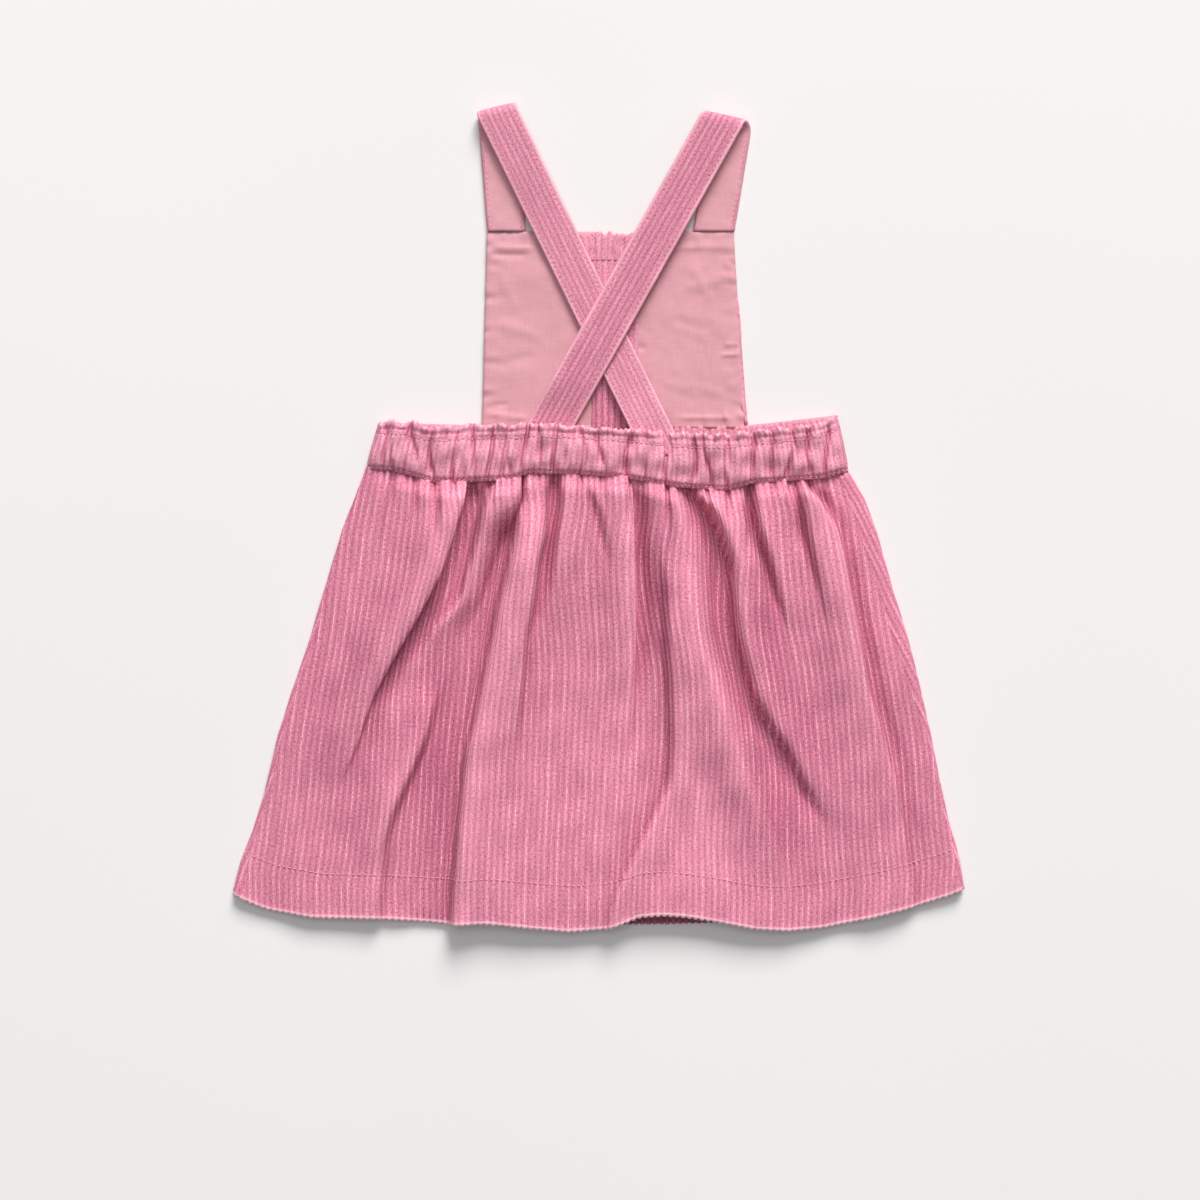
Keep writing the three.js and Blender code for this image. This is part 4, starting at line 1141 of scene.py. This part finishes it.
class PINAFORE_OT_waistband(bpy.types.Operator):
    """Lays the elastic casing and the flat front waistband"""
    bl_idname = "pinafore.waistband"
    bl_label = "Waistband"

    def execute(self, context):
        form = casing_form()
        whole = float(form.lengths[-1])
        crest = whole - float(even_read(CASING_TOP, 1, 0.5) - even_read(CASING_BOTTOM, 1, 0.5))
        seam = crest + FRILL
        columns = round(WAIST_CUT / WALE) * RIB_COLUMNS
        width = columns / RIB_COLUMNS * WALE
        relief = ribs(sizes().band_rib_height / MM, seams=(seam, whole - 1.2), seed=4)
        casing = lay_cloth("waistband_back_casing", cut_cloth(columns, 60, width, whole), form,
                           lambda length: width, relief, finish("pressed_corduroy"), CASING_WALL)
        place_piece(casing, "corduroy", "waistband_back")
        shares = np.linspace(0.012, 0.988, 900)
        zigzag = seam + 0.35 * np.sign(np.sin(shares * 260))
        rows = [(*seam_along(form, shares, smooth_along(zigzag, 3), 0.3), sizes().stitch / MM, 0.75),
                (*seam_along(form, shares, whole - 1.6, 0.35), sizes().stitch / MM, 0.7)]
        thread = sew("casing_stitches", rows, finish("spun_thread"))
        place_piece(thread, "corduroy")

        form = band_form()
        whole = float(form.lengths[-1])
        width = BAND_WALES * WALE
        relief = ribs(sizes().band_rib_height / MM, seams=(whole - 2,), seed=6)
        cloth = cut_cloth(BAND_WALES * RIB_COLUMNS, 34, width, whole)
        band = lay_cloth("waistband_front_band", cloth, form, lambda length: width, relief,
                         finish("pressed_corduroy"), BAND_WALL)
        place_piece(band, "corduroy", "waistband_front")
        return {"FINISHED"}


# ------------------------------------------------------------------ the bib
BIB = {way: rim("bib_front", facing) for way, facing in
       (("top", (0, 1, 0)), ("left", (-1, 0, 0)), ("right", (1, 0, 0)))}
LINING_HIGH = 2.6          # the lining's upper face without its wrinkles
BIB_CURL = 0.62            # radius of the bib's rolled side edges
BIB_SHOWS = 1.9            # the outer cloth comes this far over the lining on the right
BIB_LOW = 0.75             # height of its face, which is underneath
BIB_WALES = 42
BIB_WALL = 0.8
FACING_LOW, FACING_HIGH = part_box("bib_centre_facing")
FACING_MIDDLE = (FACING_LOW.x + FACING_HIGH.x) / 2 / MM
FACING_HALF = (FACING_HIGH.x - FACING_LOW.x) / 2 / MM
FACING_WALES = 7.3
FACING_LIES = 2.72         # height of the facing
TURNING_WALES = 11         # wales in the outer's turned-down top
TURNING_DEPTH = (2.2, 14)  # its upper and lower edge, below the facing's top
TURNING_LIES = 2.95
SMALL_RIBS = 0.4           # height of the ribs of the facing and the turning
FACING_WALL = 0.6
TURNING_WALL = 0.5
# How far each lining goes past its box: up, down, and sideways at the waist and at the top.
LINING_PAST = {"left": (0.5, 1.6, 0.5, 0.5), "right": (0.5, 1.6, 0.2, 1.3)}
LINING_UNDER = 2.0         # width of a lining that lies under the facing
# Creases of the lining: X and Y of both ends, height (below zero is a dent) and half width.
LINING_CREASES = [
    (-56, 134, -30, 132.5, 0.45, 1.4), (-56, 130, -34, 129, -0.4, 1.2), (20, 133, 66, 134, 0.35, 1.6),
    (64, 126.5, 70, 124, -0.5, 1.0), (62, 85, 71, 85.5, 0.45, 1.2), (60, 79.5, 71, 80.5, 0.4, 1.0),
    (18, 84, 24, 83, -0.4, 1.6), (36, 49, 70, 47.8, 0.45, 1.0), (62.6, 52, 63.4, 47, 0.45, 0.9),
    (-58, 50.5, -34, 48, 0.4, 1.2), (-57, 53.5, -44, 55.5, -0.35, 1.3), (40, 112, 64, 118, 0.25, 3.0),
    (30, 66, 66, 60, 0.25, 3.0), (-52, 96, -26, 88, 0.25, 3.0), (-54, 74, -30, 80, -0.25, 2.6),
    (34, 98, 60, 92, -0.25, 2.8), (44, 128, 58, 104, 0.2, 2.5), (-50, 122, -40, 100, 0.2, 2.5),
]


def creases(table, x, y):
    """Height of straight creases that fade towards their ends."""
    total = np.zeros_like(x)
    for x0, y0, x1, y1, height, width in table:
        run = math.hypot(x1 - x0, y1 - y0)
        along = ((x - x0) * (x1 - x0) + (y - y0) * (y1 - y0)) / run
        off = np.hypot(x - x0 - along * (x1 - x0) / run, y - y0 - along * (y1 - y0) / run)
        total += height * bell(off, width) * ease(along / run * 4) * ease(4 - along / run * 4)
    return total


def upright_form(left, right, top, bottom, surface, rows=60, samples=301):
    """A form between two edges, each with its X at the bottom and at the top, which runs down."""
    lengths = np.linspace(0, top - bottom, rows)
    made = []
    for length in lengths:
        share = 1 - length / (top - bottom)
        x = np.linspace(mix(left[0], left[1], share), mix(right[0], right[1], share), samples)
        y = np.full(samples, top - length)
        made.append(np.stack([x, y, surface(x, y)], axis=1))
    return Form(lengths, made)


def bib_outer_form():
    """The bib's outer cloth, face down, with both side edges rolled up, from right to left."""
    bottom, top = float(BIB["right"][0, 1]), float(BIB["top"][0, 1])
    lengths = np.linspace(0, top - bottom, 50)
    made = []
    for length in lengths:
        share = 1 - length / (top - bottom)
        y = top - length
        roll = 1 + 0.35 * math.sin(y / 9.0) + 0.25 * math.sin(y / 4.1)
        path = []
        for way, shows in ((1, BIB_SHOWS * roll), (-1, 0.3)):
            edge = even_read(BIB["right" if way == 1 else "left"], 0, share)
            edge += 0.9 if way == -1 else -0.8 * ease((y - 100) / 16)
            turn = np.linspace(math.pi / 2, -math.pi / 2, 24)
            arc = np.stack([edge - way * (0.35 + BIB_CURL * (1 - np.cos(turn))),
                            BIB_LOW + BIB_CURL * (1 + np.sin(turn))], axis=1)
            flat = np.stack([edge - way * (0.35 + BIB_CURL + np.linspace(shows, 0.05, 8)),
                             np.full(8, BIB_LOW + 2 * BIB_CURL)], axis=1)
            path.append(np.concatenate([flat, arc])[::way])
        section = np.concatenate([path[0], np.linspace(path[0][-1], path[1][0], 300)[1:-1], path[1]])
        x, z = evenly(section, 501)
        under_facing = ease((FACING_HALF + 7 - np.abs(x - FACING_MIDDLE)) / 4)
        made.append(np.stack([x, y - 3.2 * share ** 8 * under_facing, z], axis=1))
    return Form(lengths, made)


def lining_form(side, seed):
    """The form of a lining, softly creased and puckered along its sewn edges, and its flat width."""
    low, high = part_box(f"bib_lining_{side}")
    up, down, past_low, past_high = LINING_PAST[side]
    top = high.y / MM + up
    bottom = low.y / MM - down
    if side == "left":
        edge_x = rim("bib_lining_left", (-1, 0, 0))[:, 0]
        sewn = (edge_x[0] - past_low, edge_x[-1] - past_high)
        left, right = sewn, (FACING_LOW.x / MM + LINING_UNDER,) * 2
    else:
        edge_x = rim("bib_lining_right", (1, 0, 0))[:, 0]
        sewn = (edge_x[0] + past_low, edge_x[-1] + past_high)
        left, right = (FACING_HIGH.x / MM - LINING_UNDER,) * 2, sewn
    soft = drift(seed, 22, 60)
    pucker = drift(seed + 5, 4, 11, 9)

    def surface(x, y):
        edge = np.abs(x - mix(sewn[0], sewn[1], (y - bottom) / (top - bottom)))
        height = LINING_HIGH + 0.2 * soft(x, y) + 1.9 * creases(LINING_CREASES, x, y)
        # Puckers along the sewn side, the top and the waist.
        patchy = np.clip(0.5 + 0.7 * soft(3 * y, 2 * x), 0, 1.2)
        height += 0.42 * patchy * pucker(0.2 * x, y) * bell(edge, 6.5)
        height += 0.34 * patchy * pucker(x, 0.2 * y) * bell(top - y, 5)
        height += 0.42 * pucker(x, 0.15 * y + 9) * bell(y - bottom, 7)
        return height - 0.5 * bell(edge, 1.0) - 0.3 * bell(top - y, 1.0)

    width = (right[0] - left[0] + right[1] - left[1]) / 2
    return upright_form(left, right, top, bottom, surface), width


def facing_form():
    """The facing down the middle of the bib, with a frilled top and painted shade low down, between the
    straps.
    """
    def surface(x, y):
        from_edge = FACING_HALF - np.abs(x - FACING_MIDDLE)
        return FACING_LIES - 0.35 * bell(from_edge, 0.9) + 0.1 * np.sin(y / 7)

    form = upright_form((FACING_MIDDLE - FACING_HALF,) * 2, (FACING_MIDDLE + FACING_HALF,) * 2,
                        FACING_HIGH.y / MM, FACING_LOW.y / MM - 3.0, surface)
    frill = drift(14, 2.6, 6)
    for row, share in zip(form.points, np.linspace(1, 0, len(form.points))):
        row[:, 1] += share ** 12 * (1.1 * frill(row[:, 0], 1.0) - 0.9)
        # Painted shade: the pile turns to the fold shade colour low down, between the straps.
        row[:, 3] = mix(WEAR, 0.0, ease((0.38 - share) / 0.25))
    return form


def turning_form():
    """The top edge of the outer, turned down over the facing, with a frilled edge."""
    jag = drift(14, 3.5, 9)
    top, bottom = (FACING_HIGH.y / MM - depth for depth in TURNING_DEPTH)

    def surface(x, y):
        return TURNING_LIES + 0.12 * jag(x, y) - 0.25 * bell(y - bottom, 0.8)

    form = upright_form((FACING_MIDDLE - 17,) * 2, (FACING_MIDDLE + 15,) * 2, top, bottom, surface,
                        rows=24)
    for row, share in zip(form.points, np.linspace(1, 0, len(form.points))):
        row[:, 1] += share ** 3 * (1.3 * jag(row[:, 0] * 1.6, 5.0) + 0.5)
        row[:, 2] += 0.6 * share ** 2 * jag(row[:, 0] * 1.6, 9.0)
    return form


class PINAFORE_OT_bib(bpy.types.Operator):
    """Lays the bib's outer cloth, its cotton linings and its corduroy facing"""
    bl_idname = "pinafore.bib"
    bl_label = "Bib"

    def execute(self, context):
        form = bib_outer_form()
        whole = float(form.lengths[-1])
        width = BIB_WALES * WALE
        relief = ribs(sizes().band_rib_height / MM, seed=7)
        outer = lay_cloth("bib_outer", cut_cloth(BIB_WALES * RIB_COLUMNS, 48, width, whole), form,
                          lambda length: width, relief, finish("pressed_corduroy"), BIB_WALL)
        place_piece(outer, "corduroy", "bib_front")

        for side, seed in (("left", 21), ("right", 31)):
            form, width = lining_form(side, seed)
            tall = float(form.lengths[-1])
            lining = lay_cloth(
                f"bib_{side}_lining", cut_cloth(60, 110, width, tall), form,
                lambda length, width=width: width, smooth_weave(0.11, seed),
                finish("plain_cotton"), sizes().lining_wall / MM)
            place_piece(lining, "cotton_lining", f"bib_lining_{side}")

        form = facing_form()
        tall = float(form.lengths[-1])
        width = FACING_WALES * WALE
        facing = lay_cloth("bib_facing", cut_cloth(28, 60, width, tall), form,
                           lambda length: width, ribs(SMALL_RIBS, seed=9),
                           finish("pressed_corduroy"), FACING_WALL)
        place_piece(facing, "corduroy", "bib_centre_facing")

        form = turning_form()
        tall = float(form.lengths[-1])
        width = TURNING_WALES * WALE
        turning = lay_cloth("bib_top_turning", cut_cloth(44, 16, width, tall), form,
                            lambda length: width, ribs(SMALL_RIBS, seed=10),
                            finish("pressed_corduroy"), TURNING_WALL)
        place_piece(turning, "corduroy")
        return {"FINISHED"}


# ------------------------------------------------------------------ the straps
def strap_sections(strap):
    """The middle of a strap from the bib over the shoulder fold to the waist: each section has its
    left and right ends, and the direction that the corduroy faces."""
    fold_left, fold_right = (np.array(corner, float) for corner in strap["fold"])
    along = (fold_right - fold_left) / np.linalg.norm(fold_right - fold_left)
    out = np.array([-along[1], along[0]])
    low = STRAP_HALF + STRAP_LOW
    reach = strap["radius"] + low
    pins = [corner - out * reach for corner in (fold_left, fold_right)]
    back_pins = [np.array(corner, float) - out * reach
                 for corner in strap.get("back_fold", strap["fold"])]
    sections = []

    def note(ends, height, turn):
        points = [np.array([*end, height]) for end in ends]
        sections.append((*points, np.array([*(out * math.sin(turn)), -math.cos(turn)])))

    for share in np.linspace(0, 1, 25)[:-1]:
        note([mix(np.array(corner), pin, share) for corner, pin in zip(strap["front"], pins)], low, 0)
    for turn in np.linspace(0, math.pi, 17):
        turned = [mix(pin, after, ease(turn / math.pi)) for pin, after in zip(pins, back_pins)]
        ends = [pin + out * strap["radius"] * math.sin(turn) for pin in turned]
        note(ends, low + strap["radius"] * (1 - math.cos(turn)), turn)
    heights = smooth_along(np.interp(np.linspace(0, 1, 81), np.linspace(0, 1, 11), strap["heights"]), 3)
    for share, height in zip(np.linspace(0, 1, 81)[1:], heights[1:]):
        ends = [mix(pin, np.array(corner), share) for corner, pin in zip(strap["back"], back_pins)]
        note(ends, height, math.pi)
    return sections


def strap_form(sections, profile, wear=WEAR):
    """A form along a strap.  profile is (share across, distance to the corduroy side) points."""
    rows, lengths, length, before = [], [], 0.0, None
    for left, right, normal in sections:
        across = (right - left) / np.linalg.norm(right - left)
        width = np.linalg.norm(right - left)
        row = np.array([left + across * (share * width + past) + normal * distance
                        for share, past, distance in profile])
        middle = row.mean(axis=0)
        if before is not None:
            length += float(np.linalg.norm(middle - before))
        before = middle
        rows.append(row)
        lengths.append(length)
    return Form(lengths, rows, wear=wear)


def wrapped_profile():
    """The corduroy of a strap: turned in from one edge, across its face, and in at the other."""
    middle = (STRAP_WALL - STRAP_INSIDE) / 2
    radius = (STRAP_WALL + STRAP_INSIDE) / 2
    points = []
    for side in (0, 1):
        way = 1 if side else -1
        part = [(side, -way * (radius + STRAP_PILE + back), -STRAP_INSIDE)
                for back in np.linspace(STRAP_WRAP - radius, 0, 5)[:-1]]
        for turn in np.linspace(-math.pi / 2, math.pi / 2, 9):
            part.append((side, way * (radius * (math.cos(turn) - 1) - STRAP_PILE),
                         middle + radius * math.sin(turn)))
        points += part[::-way]
    first, last = points[:len(points) // 2], points[len(points) // 2:]
    return first + [(share, 0.0, STRAP_WALL) for share in np.linspace(0.16, 0.84, 9)] + last


def topstitching(form, share, lift):
    """A row of stitches along a strap at a share of its width."""
    lengths = np.linspace(1.5, float(form.lengths[-1]) - 1, 300)
    points, normals = seam_along(form, np.full(300, share), lengths, lift)
    return points, normals, sizes().stitch / MM, 0.62


class PINAFORE_OT_straps(bpy.types.Operator):
    """Lays the two crossed straps with their linings and topstitching"""
    bl_idname = "pinafore.straps"
    bl_label = "Straps"

    def execute(self, context):
        stitches = []
        for name, strap in STRAPS.items():
            sections = strap_sections(strap)
            profile = wrapped_profile()
            form = strap_form(sections, profile, strap["wear"])
            # Painted highlight along the strap's turned edges, with pile pale from rubbing.
            for place, (share, past, distance) in enumerate(profile):
                if distance > 0 and abs(past) > 0.4 and share in (0, 1):
                    form.points[:, place, 3] = STRAP_PALE_EDGE_AND_HIGHLIGHT
            whole = float(form.lengths[-1])
            width = STRAP_WALES * WALE
            edges = (-STRAP_STITCHED * width, STRAP_STITCHED * width)
            outer = lay_cloth(
                f"{name}_strap_corduroy", cut_cloth(STRAP_WALES * RIB_COLUMNS, 170, width, whole),
                form, lambda length, width=width: width, ribs(STRAP_RIBS, lines=edges, seed=12),
                finish("pressed_corduroy"), STRAP_CLOTH)
            place_piece(outer, "corduroy", f"strap_{name}_outer")
            for edge in edges:
                stitches.append(topstitching(form, 0.5 + edge / width, 0.3))
            flat_lining = [(share, 0.6 - 1.2 * share,
                            -STRAP_LINING_LIES + 0.3 * abs(2 * share - 1) ** 8)
                           for share in np.linspace(0, 1, 21)]
            lining_form = strap_form(sections, flat_lining)
            # The lining faces away from the corduroy, so its rows run the other way.
            lining_form = Form(lining_form.lengths, lining_form.points[:, ::-1, :3])
            inner = float(lining_form.lengths[-1])
            for share in (0.09, 0.91):
                stitches.append(topstitching(lining_form, share, 0.1))
            lining = lay_cloth(
                f"{name}_strap_lining", cut_cloth(24, 170, STRAP_LINING, inner), lining_form,
                lambda length: STRAP_LINING, smooth_weave(0.16, 40 + len(name)),
                finish("plain_cotton"), STRAP_LINING_WALL)
            place_piece(lining, "cotton_lining", f"strap_{name}_lining")
        thread = sew("strap_stitches", stitches, finish("spun_thread"), thickness=0.4)
        place_piece(thread, "corduroy")
        return {"FINISHED"}


# ------------------------------------------------------------------ floor, light and camera
VIEW_WIDTH = 0.600         # width of the square that the camera takes in, at the floor
VIEW_CENTRE = (0.0006, -0.0425)
CAMERA_HEIGHT = 1.5
FLOOR_HALF = 2.5
SKY = ("#FCFCFF", 0.235)   # colour and strength of the even light from all round
LIGHTS = (                 # name, place, size, watts, colour
    ("key", (1.9, 8.6, 5.9), 4.8, 1430.0, "#FFFDFB"),
    ("overhead", (-0.2, 0.4, 3.6), 2.2, 30.0, "#FBFCFF"),
)
LIT = (0, -0.03, 0)        # where the lights point


def area_light(name, place, size, energy, colour):
    """A soft square light that points at the dress."""
    lamp = bpy.data.lights.new(name, "AREA")
    lamp.shape = "SQUARE"
    lamp.size = size
    lamp.energy = energy
    lamp.color = linear(colour)[:3]
    light = bpy.data.objects.new(name, lamp)
    light.location = place
    light.rotation_euler = (Vector(LIT) - Vector(place)).to_track_quat("-Z", "Y").to_euler()
    bpy.context.scene.collection.objects.link(light)


class PINAFORE_OT_stage(bpy.types.Operator):
    """Adds the floor, the lights and the camera"""
    bl_idname = "pinafore.stage"
    bl_label = "Floor, light and camera"

    def execute(self, context):
        scene = context.scene
        board = bmesh.new()
        bmesh.ops.create_grid(board, x_segments=1, y_segments=1, size=FLOOR_HALF)
        mesh = bpy.data.meshes.new("floor")
        board.to_mesh(mesh)
        board.free()
        floor = bpy.data.objects.new("floor", mesh)
        mesh.materials.append(finish("painted_board"))
        scene.collection.objects.link(floor)
        world = bpy.data.worlds.new("studio")
        world.use_nodes = True
        background = world.node_tree.nodes["Background"]
        background.inputs[0].default_value = linear(SKY[0])
        background.inputs[1].default_value = SKY[1]
        scene.world = world
        for light in LIGHTS:
            area_light(*light)
        lens = bpy.data.cameras.new("camera")
        lens.sensor_width = 36.0
        lens.lens = 36.0 * CAMERA_HEIGHT / VIEW_WIDTH
        camera = bpy.data.objects.new("camera", lens)
        camera.location = (*VIEW_CENTRE, CAMERA_HEIGHT)
        scene.collection.objects.link(camera)
        scene.camera = camera
        scene.view_settings.view_transform = "Standard"
        return {"FINISHED"}


# ------------------------------------------------------------------ add-on
class PINAFORE_PT_panel(bpy.types.Panel):
    """Lists the pieces of the dress with their sizes and colours"""
    bl_idname = "PINAFORE_PT_panel"
    bl_label = "Pinafore dress"
    bl_space_type = "VIEW_3D"
    bl_region_type = "UI"
    bl_category = "Pinafore"

    def draw(self, context):
        layout = self.layout
        for group in (context.scene.pinafore_sizes, context.scene.pinafore_colours):
            for prop in group.bl_rna.properties:
                if prop.identifier not in ("rna_type", "name"):
                    layout.prop(group, prop.identifier)
        for operator in OPERATORS:
            layout.operator(operator.bl_idname)


OPERATORS = (PINAFORE_OT_stage, PINAFORE_OT_skirt, PINAFORE_OT_waistband, PINAFORE_OT_bib,
             PINAFORE_OT_straps)
CLASSES = (PinaforeSizes, PinaforeColours, *OPERATORS, PINAFORE_PT_panel)


def register():
    """Makes the sizes, colours, operators and panel known to Blender."""
    for cls in CLASSES:
        bpy.utils.register_class(cls)
    bpy.types.Scene.pinafore_sizes = bpy.props.PointerProperty(type=PinaforeSizes)
    bpy.types.Scene.pinafore_colours = bpy.props.PointerProperty(type=PinaforeColours)


def unregister():
    """Takes them away again."""
    del bpy.types.Scene.pinafore_colours
    del bpy.types.Scene.pinafore_sizes
    for cls in reversed(CLASSES):
        bpy.utils.unregister_class(cls)


def main():
    """Builds the dress and its stage."""
    register()
    bpy.ops.pinafore.stage()
    bpy.ops.pinafore.skirt()
    bpy.ops.pinafore.waistband()
    bpy.ops.pinafore.bib()
    bpy.ops.pinafore.straps()


if __name__ == "__main__":
    main()
